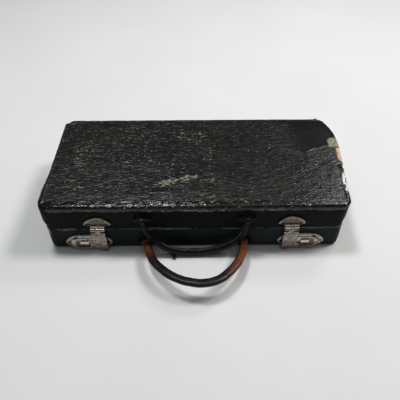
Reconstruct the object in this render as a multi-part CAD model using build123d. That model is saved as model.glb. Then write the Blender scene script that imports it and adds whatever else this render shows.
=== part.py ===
from build123d import *
from math import atan2, cos, sin
import os

# Old covered-wood clarinet case, closed. Units are millimetres.
# X runs along the case, the front with latches and handles faces -Y, Z is up.
# The origin is the centre of the underside.

# Body of the case
CASE_LENGTH = 381
CASE_DEPTH = 180
BASE_HEIGHT = 36
LID_HEIGHT = 40
PLAN_RADIUS = 10
WALL = 5
BOTTOM_BOARD = 3.5
TOP_BOARD = 4
COVERING = 0.8
TOP_SHEET = 0.7
EDGE_ROUNDING = 3.3
EDGE_BEVEL = EDGE_ROUNDING * 0.586
TURNED_EDGE = 6
TOP_SHEET_DROP = 8.5
SHEET_FIT = 0.1

# Lining and fitted insert
LINING = 1
FLOOR_LINING = 1.2
LID_PAD = 3
RIM_SETBACK = 0.6
DIVIDER_TOP_GAP = 5
WIDE_DIVIDER = 14
NARROW_DIVIDER = 8
DIVIDER_ROUNDING = 2.5
LOWER_JOINT_LENGTH = 262
LOWER_JOINT_DEPTH = 46
UPPER_JOINT_DEPTH = 52
BELL_LENGTH = 112
REED_WELL_DEPTH = 28.4
MOUTHPIECE_LENGTH = 104
SADDLE_WIDTH = 10
SADDLE_HEIGHT = 10
SADDLE_SCOOP_RADIUS = 19
SADDLE_SCOOP_DEPTH = 6

# Rear hinges
HINGE_SPACING = 230
HINGE_WIDTH = 38
HINGE_LEAF_HEIGHT = 15
HINGE_LEAF = 1.2
HINGE_BARREL_RADIUS = 2.5
HINGE_PIN_RADIUS = 1.2
HINGE_PIN_END = 0.8
HINGE_NAIL_OFFSET = 9.3
HINGE_NAIL_SPREAD = 13
KNUCKLES = 5
KNUCKLE_GAP = 0.15
RUNNING_GAP = 0.05
FIXED_GAP = 0.02

# Nails
NAIL_HEAD_RADIUS = 1.7
NAIL_HEAD_RISE = 0.9
NAIL_HEAD_SLOPE = 40
NAIL_HEAD_SIDES = 8
NAIL_SHANK = 1.4
NAIL_DEPTH = 4

# Latches: distances outward are measured from the base's front face
HASP_X = 122.5
LOCK_OUTSET = 15.3
LOCK_DROP = 22.8
LOCK_LENGTH = 61
LOCK_HEIGHT = 25
LOCK_FLAT = 24
LOCK_TIP_ROUNDING = 1.2
LOCK_NAIL_INSET = 4.4
BACK_PLATE = 0.8
PAN_SHEET = 0.9
PAN_RISE = 5.2
PAN_LENGTH = 47
PAN_HEIGHT = 23.2
PAN_FLAT = 24
PAN_TAPER = 18
PAN_ROUNDING = 0.7
DISH_LENGTH = 18.6
DISH_HEIGHT = 15.8
DISH_RADIUS = 4
DISH_DEPTH = 1.0
DISH_OUTSET = 7.2
DISH_DROP = 0.4
KEYHOLE_RADIUS = 1.3
KEYHOLE_SLOT = 1.5
KEYHOLE_LENGTH = 2.4
KEYHOLE_LIFT = 2.6
KEYHOLE_SHIFT = 2.6

# Sliding bolt
SLIDE_TRAVEL = 3.2
SLIDE_PLATE = 1.0
SLIDE_CLEARANCE = 0.2
SLIDE_HEIGHT = 8.5
SLIDE_START = 1.0
SLIDE_LENGTH = 11
SLIDE_LIFT = 0.25
BOLT_HEIGHT = 2.6
BOLT_LIFT = 1
BOLT_REACH = 1.3
BUTTON_LENGTH = 12
BUTTON_HEIGHT = 6
BUTTON_OUTSET = 4.7
BUTTON_LIFT = 3.8
BUTTON_RISE = 2.2
BUTTON_RIDGE = 0.6
BUTTON_BEVEL = 0.8
BUTTON_RADIUS = 2
RIDGE_WIDTH = 1.7
NECK_LENGTH = 5
NECK_HEIGHT = 3
SPRING_STRIP = 0.3
SPRING_HEIGHT = 4
SPRING_END_INSET = 3.7
SPRING_GAP = 0.1

# Hasp and the plate that carries it on the lid
HASP_SHEET = 1.1
HASP_GAP = 0.3
HASP_WIDTH = 18.5
HASP_SHOULDER = 0.5
HASP_DROP = 22
TONGUE_WIDTH = 9
TONGUE_DROP = 34.5
NOTCH_RADIUS = 1.5
NOTCH_DROP = 5.2
RIB_WIDTH = 2.2
RIB_RISE = 0.5
LATCH_KNUCKLE_RADIUS = 2.5
LATCH_PIN_RADIUS = 0.9
LATCH_AXIS_RISE = 3.2
CENTRE_KNUCKLE = 6
CATCH_OUTSET = 6.5
CATCH_PLATE = 1.4
CATCH_HEIGHT = 5.4
CATCH_CLEARANCE = 0.7
CAP_SHEET = 0.9
CAP_CHORD = 35
CAP_SAGITTA = 12.3
CAP_BELLY = 3.2
CAP_CHORD_RISE = 9.8
CAP_RIM_WIDTH = 2.2
CAP_RIM_RISE = 2.6
CAP_RIM_BEVEL = 0.8
CAP_TIP_WIDTH = 3.4
CAP_NAIL_RISE = 4.2
CAP_NECK_WIDTH = 18
CAP_NAIL_SPACING = 13

# Handles
STAPLE_SPACING_LID = 130
STAPLE_SPACING_BASE = 125
LID_STAPLE_RISE = 21
BASE_STAPLE_DROP = 19
STAPLE_WIRE_RADIUS = 1.3
STAPLE_HALF_WIDTH = 8.9
STAPLE_STANDOFF = 5.2
STAPLE_DEPTH = 4.4
LOOP_LENGTH = 12
LOOP_RADIUS = 3.7
LID_GRIP = (10.5, 8)
BASE_GRIP = (9.5, 7)
GRIP_BEVEL = 2.2
LOOP_TAPER_LENGTH = 15
LOOP_TAPER_THICKNESS = 6.2
LOOP_LEAN = 1.6
LID_HANDLE_REACH = 52
LID_HANDLE_DROOP = 80
BASE_HANDLE_REACH = 72
BASE_HANDLE_LIFT = 8
LID_HANDLE_BEND = 38
BASE_HANDLE_BEND = 90
HANDLE_GAP = 0.1

# Worked-out places
FRONT = CASE_DEPTH / 2
CASE_HEIGHT = BASE_HEIGHT + LID_HEIGHT
LID_INSET = TOP_SHEET
BASE_FLOOR = 2 * COVERING + BOTTOM_BOARD
LID_CEILING = CASE_HEIGHT - TOP_SHEET - COVERING - TOP_BOARD
LID_FRONT = FRONT - LID_INSET
LOCK_X = HASP_X + LOCK_OUTSET
LOCK_Z = BASE_HEIGHT - LOCK_DROP
PAN_FACE = FRONT + PAN_RISE
HASP_BACK = PAN_FACE + HASP_GAP
HASP_FACE = HASP_BACK + HASP_SHEET
LATCH_AXIS_Y = -(HASP_FACE - LATCH_KNUCKLE_RADIUS)
LATCH_AXIS_Z = BASE_HEIGHT + LATCH_AXIS_RISE
CATCH_X = HASP_X + CATCH_OUTSET
DISH_X = LOCK_X + DISH_OUTSET
DISH_Z = LOCK_Z - DISH_DROP
DISH_FLOOR = PAN_FACE - DISH_DEPTH
SLIDE_FACE = DISH_FLOOR - PAN_SHEET - SLIDE_CLEARANCE
SLIDE_BACK = SLIDE_FACE - SLIDE_PLATE
SLIDE_X = LOCK_X + SLIDE_START
BUTTON_X = LOCK_X + BUTTON_OUTSET
BUTTON_Z = LOCK_Z + BUTTON_LIFT
SLIDE_Z = BUTTON_Z + SLIDE_LIFT
BOLT_Z = SLIDE_Z + BOLT_LIFT
BOLT_TIP = CATCH_X - CATCH_PLATE / 2 - BOLT_REACH
HINGE_AXIS_Y = FRONT + HINGE_BARREL_RADIUS + 0.1
STAPLE_Y = -(FRONT + STAPLE_STANDOFF)
LID_STAPLE_Z = BASE_HEIGHT + LID_STAPLE_RISE
BASE_STAPLE_Z = BASE_HEIGHT - BASE_STAPLE_DROP
SIDES = (-1, 1)


def slab(length, depth, radius, bottom, top):
    """Upright block with rounded plan corners."""
    return extrude(Pos(0, 0, bottom) * RectangleRounded(length, depth, radius), top - bottom)


def rod_x(radius, length, x, y, z):
    return Pos(x, y, z) * Rot(0, 90, 0) * Cylinder(radius, length)


def rod_y(radius, start, end, x, z):
    return Pos(x, (start + end) / 2, z) * Rot(90, 0, 0) * Cylinder(radius, abs(end - start))


def on_front(distance):
    """Plane facing the viewer at a distance in front of the case's middle."""
    return Plane.XZ.offset(distance)


def block(x_range, y_range, z_range):
    size = [end - start for start, end in (x_range, y_range, z_range)]
    middle = [(start + end) / 2 for start, end in (x_range, y_range, z_range)]
    return Pos(*middle) * Box(*size)


def mirrored(shape):
    return mirror(shape, about=Plane.YZ)


def wall_boards(inset, bottom, top, holes):
    """Four butt-jointed boards: front and back run the full length."""
    length = CASE_LENGTH - 2 * inset
    depth = CASE_DEPTH - 2 * inset
    outer = slab(length, depth, PLAN_RADIUS - inset, bottom, top)
    reach = depth / 2
    boards = {
        "front": outer & block((-length / 2, length / 2), (-reach, WALL - reach), (bottom, top)),
        "back": outer & block((-length / 2, length / 2), (reach - WALL, reach), (bottom, top)),
    }
    inner = (WALL - reach, reach - WALL)
    boards["left"] = outer & block((-length / 2, WALL - length / 2), inner, (bottom, top))
    boards["right"] = outer & block((length / 2 - WALL, length / 2), inner, (bottom, top))
    boards["front"] = boards["front"] - holes
    boards["back"] = boards["back"] - holes
    return boards


def bevelled_board(inset, bottom, top, rounded_side):
    """Board, or the room inside a covering, with a bevel hidden under the rounded skin."""
    board = slab(CASE_LENGTH - 2 * inset, CASE_DEPTH - 2 * inset, PLAN_RADIUS - inset, bottom, top)
    level = 0 if rounded_side == "bottom" else -1
    return chamfer(board.edges().group_by(Axis.Z)[level], EDGE_BEVEL)


def covered_shell(inset, bottom, top, rounded_side, rounding):
    """Solid block with the outside form of a covering skin."""
    body = slab(CASE_LENGTH - 2 * inset, CASE_DEPTH - 2 * inset, PLAN_RADIUS - inset, bottom, top)
    level = 0 if rounded_side == "bottom" else -1
    return fillet(body.edges().group_by(Axis.Z)[level], rounding)


def base_body(holes):
    boards = wall_boards(COVERING, BASE_FLOOR, BASE_HEIGHT, holes)
    nodes = {f"base_{name}_board": board for name, board in boards.items()}
    nodes["base_bottom_board"] = bevelled_board(COVERING, 2 * COVERING, BASE_FLOOR, "bottom")

    outer = covered_shell(0, COVERING, BASE_HEIGHT, "bottom", EDGE_ROUNDING + COVERING)
    inner = bevelled_board(COVERING, 2 * COVERING, BASE_HEIGHT, "bottom")
    lip_inset = EDGE_ROUNDING + COVERING + TURNED_EDGE
    window = slab(CASE_LENGTH - 2 * lip_inset, CASE_DEPTH - 2 * lip_inset, 1, 0, 3 * COVERING)
    nodes["base_side_covering"] = outer - inner - window - holes

    sheet_inset = EDGE_ROUNDING + COVERING + 0.5
    thick_inset = lip_inset + SHEET_FIT
    sheet = slab(CASE_LENGTH - 2 * sheet_inset, CASE_DEPTH - 2 * sheet_inset, 5, 0, COVERING)
    thick = slab(CASE_LENGTH - 2 * thick_inset, CASE_DEPTH - 2 * thick_inset, 1, 0, 2 * COVERING)
    nodes["base_bottom_sheet"] = sheet + thick
    return nodes


def lid_body(holes):
    board_inset = LID_INSET + COVERING
    boards = wall_boards(board_inset, BASE_HEIGHT, LID_CEILING, holes)
    nodes = {f"lid_{name}_board": board for name, board in boards.items()}
    board_top = LID_CEILING + TOP_BOARD
    nodes["lid_top_board"] = bevelled_board(board_inset, LID_CEILING, board_top, "top")

    skin_top = board_top + COVERING
    outer = covered_shell(LID_INSET, BASE_HEIGHT, skin_top, "top", EDGE_ROUNDING + COVERING)
    inner = bevelled_board(board_inset, BASE_HEIGHT, board_top, "top")
    lip_inset = LID_INSET + EDGE_ROUNDING + COVERING + TURNED_EDGE
    window = slab(CASE_LENGTH - 2 * lip_inset, CASE_DEPTH - 2 * lip_inset, 1, board_top - 1, CASE_HEIGHT)
    nodes["lid_side_covering"] = outer - inner - window - holes

    rounding = EDGE_ROUNDING + COVERING + TOP_SHEET
    sheet = covered_shell(0, CASE_HEIGHT - TOP_SHEET_DROP, CASE_HEIGHT, "top", rounding)
    thick_inset = lip_inset + SHEET_FIT
    thick = slab(CASE_LENGTH - 2 * thick_inset, CASE_DEPTH - 2 * thick_inset, 1, board_top, CASE_HEIGHT)
    nodes["lid_top_sheet"] = sheet - outer + thick
    return nodes


def linings():
    """Plush skins on the walls, the floor covering and the padded lid panel."""
    nodes = {}
    base_length = CASE_LENGTH - 2 * (COVERING + WALL)
    base_depth = CASE_DEPTH - 2 * (COVERING + WALL)
    rim = BASE_HEIGHT - RIM_SETBACK
    walls = Box(base_length, base_depth, rim - BASE_FLOOR)
    hollow = Box(base_length - 2 * LINING, base_depth - 2 * LINING, rim)
    nodes["base_wall_lining"] = Pos(0, 0, (BASE_FLOOR + rim) / 2) * (walls - hollow)
    floor = Box(base_length - 2 * LINING, base_depth - 2 * LINING, FLOOR_LINING)
    nodes["base_floor_lining"] = Pos(0, 0, BASE_FLOOR + FLOOR_LINING / 2) * floor

    lid_length = base_length - 2 * LID_INSET
    lid_depth = base_depth - 2 * LID_INSET
    lid_rim = BASE_HEIGHT + RIM_SETBACK
    walls = Box(lid_length, lid_depth, LID_CEILING - lid_rim)
    hollow = Box(lid_length - 2 * LINING, lid_depth - 2 * LINING, LID_HEIGHT * 2)
    nodes["lid_wall_lining"] = Pos(0, 0, (LID_CEILING + lid_rim) / 2) * (walls - hollow)
    pad = Box(lid_length - 2 * LINING, lid_depth - 2 * LINING, LID_PAD)
    pad = fillet(pad.edges().group_by(Axis.Z)[0], LID_PAD / 2)
    nodes["lid_lining_pad"] = Pos(0, 0, LID_CEILING - LID_PAD / 2) * pad
    return nodes


def divider(x_range, y_range, bottom, top):
    """Plush-covered former with a softly rounded upper edge."""
    body = block(x_range, y_range, (bottom, top))
    return fillet(body.edges().group_by(Axis.Z)[-1], DIVIDER_ROUNDING)


def saddle(x, y_range, bottom):
    """Cross block with a scooped top that holds a joint of the instrument."""
    middle = (y_range[0] + y_range[1]) / 2
    body = block((x - SADDLE_WIDTH / 2, x + SADDLE_WIDTH / 2), y_range, (bottom, bottom + SADDLE_HEIGHT))
    scoop_z = bottom + SADDLE_HEIGHT - SADDLE_SCOOP_DEPTH + SADDLE_SCOOP_RADIUS
    return body - rod_x(SADDLE_SCOOP_RADIUS, 2 * SADDLE_WIDTH, x, middle, scoop_z)


def fitted_insert():
    """Formers that part the base into wells for the pieces of a clarinet."""
    half_x = CASE_LENGTH / 2 - COVERING - WALL - LINING
    half_y = CASE_DEPTH / 2 - COVERING - WALL - LINING
    low = BASE_FLOOR + FLOOR_LINING
    top = BASE_HEIGHT - DIVIDER_TOP_GAP
    rear_face = half_y - LOWER_JOINT_DEPTH
    middle_back = rear_face - WIDE_DIVIDER
    front_face = UPPER_JOINT_DEPTH - half_y
    middle_front = front_face + WIDE_DIVIDER
    barrel_x = LOWER_JOINT_LENGTH - half_x
    bell_x = BELL_LENGTH - half_x
    bell_inner = bell_x + NARROW_DIVIDER
    bell_back = middle_back - REED_WELL_DEPTH - NARROW_DIVIDER
    mouth_x = bell_inner + MOUTHPIECE_LENGTH

    nodes = {
        "rear_divider": divider((-half_x, half_x), (middle_back, rear_face), low, top),
        "front_divider": divider((bell_inner, half_x), (front_face, middle_front), low, top),
        "bell_divider": divider((bell_x, bell_inner), (-half_y, middle_back), low, top),
    }
    reed_y = (bell_back, bell_back + NARROW_DIVIDER)
    nodes["reed_divider"] = divider((-half_x, bell_x), reed_y, low, top)
    barrel_end = (barrel_x, barrel_x + NARROW_DIVIDER)
    nodes["barrel_divider"] = divider(barrel_end, (rear_face, half_y), low, top)
    mouth_end = (mouth_x, mouth_x + NARROW_DIVIDER)
    nodes["mouthpiece_divider"] = divider(mouth_end, (middle_front, middle_back), low, top)

    rear_row = (rear_face, half_y)
    lower_places = (-half_x + LOWER_JOINT_LENGTH / 4, -half_x + LOWER_JOINT_LENGTH * 3 / 4)
    nodes["lower_joint_saddles"] = [saddle(x, rear_row, low) for x in lower_places]
    front_row = (-half_y, front_face)
    upper_length = half_x - bell_inner
    upper_places = (bell_inner + upper_length / 4, bell_inner + upper_length * 3 / 4)
    nodes["upper_joint_saddles"] = [saddle(x, front_row, low) for x in upper_places]
    bell_row = (-half_y, bell_back)
    nodes["bell_saddle"] = saddle(-half_x + BELL_LENGTH / 3, bell_row, low)
    return nodes


def knuckle_spans(centre, chosen):
    """Ends along X of every second knuckle of a hinge barrel."""
    pitch = HINGE_WIDTH / KNUCKLES
    start = centre - HINGE_WIDTH / 2
    places = range(0, KNUCKLES, 2) if chosen == "lower" else range(1, KNUCKLES, 2)
    return [(start + place * pitch, start + (place + 1) * pitch) for place in places]


def hinge_leaf(centre, chosen, inner_face, bore):
    """Leaf plate, its knuckles round the pin, and gaps for the other leaf's."""
    other = "upper" if chosen == "lower" else "lower"
    z_range = (BASE_HEIGHT - HINGE_LEAF_HEIGHT, BASE_HEIGHT - KNUCKLE_GAP)
    if chosen == "upper":
        z_range = (BASE_HEIGHT + KNUCKLE_GAP, BASE_HEIGHT + HINGE_LEAF_HEIGHT)
    x_range = (centre - HINGE_WIDTH / 2, centre + HINGE_WIDTH / 2)
    leaf = block(x_range, (inner_face, inner_face + HINGE_LEAF), z_range)
    for start, end in knuckle_spans(centre, other):
        clearance = HINGE_BARREL_RADIUS + KNUCKLE_GAP
        leaf -= rod_x(clearance, end - start, (start + end) / 2, HINGE_AXIS_Y, BASE_HEIGHT)
    for start, end in knuckle_spans(centre, chosen):
        length = end - start - KNUCKLE_GAP
        leaf += rod_x(HINGE_BARREL_RADIUS, length, (start + end) / 2, HINGE_AXIS_Y, BASE_HEIGHT)
    leaf -= rod_x(bore, HINGE_WIDTH * 2, centre, HINGE_AXIS_Y, BASE_HEIGHT)
    return leaf


def hinge_nail_places(chosen):
    z = BASE_HEIGHT - HINGE_NAIL_OFFSET if chosen == "lower" else BASE_HEIGHT + HINGE_NAIL_OFFSET
    shifts = (-HINGE_NAIL_SPREAD, 0, HINGE_NAIL_SPREAD)
    return [(side * HINGE_SPACING / 2 + shift, z) for side in SIDES for shift in shifts]


def nail_shank(x, z, start, end, width):
    half = width / 2
    return block((x - half, x + half), sorted((start, end)), (z - half, z + half))


def nail(x, z, seat, inward, depth):
    """Nail with a low head and a square shank along Y; inward is the way its point faces."""
    shank = nail_shank(x, z, seat, seat + inward * depth, NAIL_SHANK)
    outline = RegularPolygon(NAIL_HEAD_RADIUS, NAIL_HEAD_SIDES)
    head = extrude(outline, NAIL_HEAD_RISE, taper=NAIL_HEAD_SLOPE)
    return shank + Pos(x, seat, z) * Rot(inward * 90, 0, 0) * head


def nail_hole(x, z, seat, inward, depth):
    return nail_shank(x, z, seat, seat + inward * depth, NAIL_SHANK + 2 * FIXED_GAP)


def rear_hinges():
    nodes = {}
    for side, name in zip(SIDES, ("left", "right")):
        centre = side * HINGE_SPACING / 2
        lower = hinge_leaf(centre, "lower", FRONT, HINGE_PIN_RADIUS + FIXED_GAP)
        upper = hinge_leaf(centre, "upper", LID_FRONT, HINGE_PIN_RADIUS + RUNNING_GAP)
        for x, z in hinge_nail_places("lower"):
            lower -= nail_hole(x, z, FRONT + HINGE_LEAF, -1, NAIL_DEPTH)
        for x, z in hinge_nail_places("upper"):
            upper -= nail_hole(x, z, LID_FRONT + HINGE_LEAF, -1, NAIL_DEPTH)
        nodes[f"{name}_hinge_lower_leaf"] = lower
        nodes[f"{name}_hinge_upper_leaf"] = upper
        length = HINGE_WIDTH + 2 * HINGE_PIN_END
        nodes[f"{name}_hinge_pin"] = rod_x(HINGE_PIN_RADIUS, length, centre, HINGE_AXIS_Y, BASE_HEIGHT)
    depth = HINGE_LEAF + NAIL_DEPTH
    nodes["hinge_lower_nails"] = [
        nail(x, z, FRONT + HINGE_LEAF, -1, depth) for x, z in hinge_nail_places("lower")
    ]
    nodes["hinge_upper_nails"] = [
        nail(x, z, LID_FRONT + HINGE_LEAF, -1, depth) for x, z in hinge_nail_places("upper")
    ]
    return nodes


def pointed_oval(length, height, flat):
    """Oval with a straight stretch above and below and a soft point at each end."""
    half, rise = length / 2, height / 2
    with BuildSketch() as sketch:
        with BuildLine() as outline:
            top = Line((-flat / 2, rise), (flat / 2, rise))
            TangentArc(top @ 1, (half, 0), tangent=(1, 0))
            TangentArc(top @ 0, (-half, 0), tangent=(-1, 0))
            mirror(outline.line, about=Plane.XZ)
        make_face()
    return sketch.sketch


def lock_nail_places():
    reach = LOCK_LENGTH / 2 - LOCK_NAIL_INSET
    return [(LOCK_X - reach, LOCK_Z), (LOCK_X + reach, LOCK_Z)]


def lock_oval():
    outline = pointed_oval(LOCK_LENGTH, LOCK_HEIGHT, LOCK_FLAT)
    tips = outline.vertices().sort_by(Axis.X)
    return fillet([tips[0], tips[-1]], LOCK_TIP_ROUNDING)


def catch_slot(start, end):
    """Opening in the lock for the catch behind the hasp."""
    width = CATCH_PLATE + 2 * CATCH_CLEARANCE
    height = CATCH_HEIGHT + 2 * CATCH_CLEARANCE
    return extrude(on_front(start) * Pos(CATCH_X, BOLT_Z) * Rectangle(width, height), end - start)


def lock_back_plate():
    plate = extrude(on_front(FRONT) * Pos(LOCK_X, LOCK_Z) * lock_oval(), BACK_PLATE)
    plate -= catch_slot(FRONT, FRONT + BACK_PLATE)
    for x, z in lock_nail_places():
        plate -= nail_hole(x, z, -PAN_FACE, 1, PAN_FACE - FRONT + 1)
    return plate


def lock_pan():
    """Stamped cover: flange, raised box, dished seat for the button, and slots."""
    place = Pos(LOCK_X, LOCK_Z)
    flange_back = FRONT + BACK_PLATE
    flange = extrude(on_front(flange_back) * place * lock_oval(), PAN_SHEET)
    raised = pointed_oval(PAN_LENGTH, PAN_HEIGHT, PAN_FLAT)
    rise = PAN_FACE - flange_back
    box = extrude(on_front(flange_back) * place * raised, rise, taper=PAN_TAPER)
    box = chamfer(box.faces().sort_by(Axis.Y)[0].edges(), PAN_ROUNDING)
    hollow_outline = pointed_oval(PAN_LENGTH - 2 * PAN_SHEET, PAN_HEIGHT - 2 * PAN_SHEET, PAN_FLAT)
    hollow = extrude(on_front(flange_back) * place * hollow_outline, rise - PAN_SHEET, taper=PAN_TAPER)
    pan = flange + box - hollow

    dish_place = Pos(DISH_X, DISH_Z)
    wall = 2 * PAN_SHEET
    dish = RectangleRounded(DISH_LENGTH, DISH_HEIGHT, DISH_RADIUS)
    dish_outside = RectangleRounded(DISH_LENGTH + wall, DISH_HEIGHT + wall, DISH_RADIUS + PAN_SHEET)
    dish_back = DISH_FLOOR - PAN_SHEET
    pan += extrude(on_front(dish_back) * dish_place * dish_outside, PAN_SHEET + DISH_DEPTH - 0.1)
    pan -= extrude(on_front(DISH_FLOOR) * dish_place * dish, 2 * DISH_DEPTH)

    slot_length = NECK_LENGTH + SLIDE_TRAVEL + 2 * SLIDE_CLEARANCE
    slot_place = Pos(BUTTON_X + SLIDE_TRAVEL / 2, BUTTON_Z)
    slot = Rectangle(slot_length, NECK_HEIGHT + 2 * SLIDE_CLEARANCE)
    pan -= extrude(on_front(dish_back - 1) * slot_place * slot, PAN_RISE)

    pan -= catch_slot(SLIDE_FACE, SLIDE_FACE + PAN_RISE)

    key_z = DISH_Z - DISH_HEIGHT / 2 + KEYHOLE_LIFT
    keyhole = Circle(KEYHOLE_RADIUS)
    keyhole += Pos(0, -KEYHOLE_LENGTH / 2) * Rectangle(KEYHOLE_SLOT, KEYHOLE_LENGTH)
    pan -= extrude(on_front(dish_back - 1) * Pos(BUTTON_X + KEYHOLE_SHIFT, key_z) * keyhole, PAN_RISE)

    for x, z in lock_nail_places():
        pan -= nail_hole(x, z, -PAN_FACE, 1, PAN_RISE)
    return pan


def lock_slide():
    """Sliding plate with its bolt nose, neck, and thumb button."""
    plate_z = (SLIDE_Z - SLIDE_HEIGHT / 2, SLIDE_Z + SLIDE_HEIGHT / 2)
    thick = (-SLIDE_FACE, -SLIDE_BACK)
    slide = block((SLIDE_X, SLIDE_X + SLIDE_LENGTH), thick, plate_z)
    bolt_z = (BOLT_Z - BOLT_HEIGHT / 2, BOLT_Z + BOLT_HEIGHT / 2)
    bolt = block((BOLT_TIP, SLIDE_X), thick, bolt_z)
    slide += chamfer(bolt.faces().sort_by(Axis.X)[0].edges().group_by(Axis.Y)[0], SLIDE_PLATE * 0.6)
    button_back = DISH_FLOOR + SLIDE_CLEARANCE
    place = Pos(BUTTON_X, BUTTON_Z)
    neck = Rectangle(NECK_LENGTH, NECK_HEIGHT)
    slide += extrude(on_front(SLIDE_FACE - 0.1) * place * neck, button_back - SLIDE_FACE + 0.2)
    button = RectangleRounded(BUTTON_LENGTH, BUTTON_HEIGHT, BUTTON_RADIUS)
    head = extrude(on_front(button_back) * place * button, BUTTON_RISE)
    slide += chamfer(head.faces().sort_by(Axis.Y)[0].edges(), BUTTON_BEVEL)
    ridge_z = BUTTON_Z + BUTTON_HEIGHT / 2 - RIDGE_WIDTH
    ridge_outline = RectangleRounded(BUTTON_LENGTH - 2, RIDGE_WIDTH, 0.7)
    ridge = on_front(button_back + 1) * Pos(BUTTON_X, ridge_z) * ridge_outline
    slide += extrude(ridge, BUTTON_RISE - 1 + BUTTON_RIDGE)
    return slide


def slide_spring():
    """Flat strip bent to a zigzag between the slide and the end of the pan."""
    start = SLIDE_X + SLIDE_LENGTH + SPRING_GAP
    near, far = FRONT + BACK_PLATE + 0.4, SLIDE_FACE - 0.2
    end = LOCK_X + PAN_LENGTH / 2 - SPRING_END_INSET
    step = (end - start) / 4
    bends = [(start + step * i, -(near if i % 2 == 0 else far)) for i in range(5)]
    path = Polyline(*bends)
    strip = trace(path, SPRING_STRIP)
    return extrude(Pos(0, 0, SLIDE_Z - SPRING_HEIGHT / 2 - 1) * strip, SPRING_HEIGHT)


def hasp():
    """Hinged plate: centre knuckle, notched plate with a raised rib, and tongue."""
    half = HASP_WIDTH / 2
    top = BASE_HEIGHT - HASP_SHOULDER
    low = BASE_HEIGHT - HASP_DROP
    tongue_low = BASE_HEIGHT - TONGUE_DROP
    on_back = on_front(HASP_BACK)
    plate = on_back * Pos(HASP_X, (top + low) / 2) * RectangleRounded(HASP_WIDTH, top - low, 1.4)
    tongue_height = low + 3 - tongue_low
    tongue_place = Pos(HASP_X - half + TONGUE_WIDTH / 2, tongue_low + tongue_height / 2)
    tongue = on_back * tongue_place * RectangleRounded(TONGUE_WIDTH, tongue_height, 2.2)
    stem_height = LATCH_AXIS_Z - top + 2
    stem = on_back * Pos(HASP_X, LATCH_AXIS_Z - stem_height / 2) * Rectangle(CENTRE_KNUCKLE, stem_height)
    body = extrude(plate, HASP_SHEET) + extrude(tongue, HASP_SHEET) + extrude(stem, HASP_SHEET)
    for side in SIDES:
        notch = on_back * Pos(HASP_X + side * half, top - NOTCH_DROP) * Circle(NOTCH_RADIUS)
        body -= extrude(notch, HASP_SHEET)
    rib_low = low + 2
    rib_height = top + 1 - rib_low
    rib_face = on_front(HASP_FACE - 0.2)
    upright = rib_face * Pos(HASP_X, rib_low + rib_height / 2) * RectangleRounded(RIB_WIDTH, rib_height, 0.8)
    body += extrude(upright, RIB_RISE + 0.2)
    arm_length = half * 0.95
    for side in SIDES:
        centre = Pos(HASP_X + side * arm_length * 0.42, top - 3.4)
        arm = rib_face * centre * Rot(0, 0, side * 32) * RectangleRounded(arm_length, RIB_WIDTH * 0.8, 0.7)
        body += extrude(arm, RIB_RISE + 0.2)
    knuckle = rod_x(LATCH_KNUCKLE_RADIUS, CENTRE_KNUCKLE, HASP_X, LATCH_AXIS_Y, LATCH_AXIS_Z)
    above_axis = block((HASP_X - half, HASP_X + half), (-HASP_FACE - 2, 0), (LATCH_AXIS_Z, CASE_HEIGHT))
    body = body - above_axis + knuckle
    bore = rod_x(LATCH_PIN_RADIUS + RUNNING_GAP, HASP_WIDTH, HASP_X, LATCH_AXIS_Y, LATCH_AXIS_Z)
    return body - bore


def hasp_catch():
    """Pierced lug on the back of the hasp; the bolt passes through its eye."""
    deep_end = SLIDE_BACK - 0.8
    x_range = (CATCH_X - CATCH_PLATE / 2, CATCH_X + CATCH_PLATE / 2)
    z_range = (BOLT_Z - CATCH_HEIGHT / 2, BOLT_Z + CATCH_HEIGHT / 2)
    lug = block(x_range, (-HASP_BACK, -deep_end), z_range)
    lug = fillet(lug.edges().filter_by(Axis.X).group_by(Axis.Y)[-1], 0.45)
    eye_z = (BOLT_Z - BOLT_HEIGHT / 2 - HASP_GAP, BOLT_Z + BOLT_HEIGHT / 2 + HASP_GAP)
    eye = block((CATCH_X - 2, CATCH_X + 2), (-SLIDE_FACE - HASP_GAP, -SLIDE_BACK + HASP_GAP), eye_z)
    return lug - eye


def half_disc(radius, sagitta):
    """Segment of a disc with its chord on the local X axis."""
    disc = Pos(0, sagitta - radius) * Circle(radius)
    return disc & Pos(0, radius) * Rectangle(4 * radius, 2 * radius)


def lens(chord, sagitta, belly):
    """Arc above and a flatter arc below a chord on the local X axis."""
    radius = (chord ** 2 / 4 + sagitta ** 2) / (2 * sagitta)
    low_radius = (chord ** 2 / 4 + belly ** 2) / (2 * belly)
    return half_disc(radius, sagitta) + Rot(0, 0, 180) * half_disc(low_radius, belly)


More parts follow.
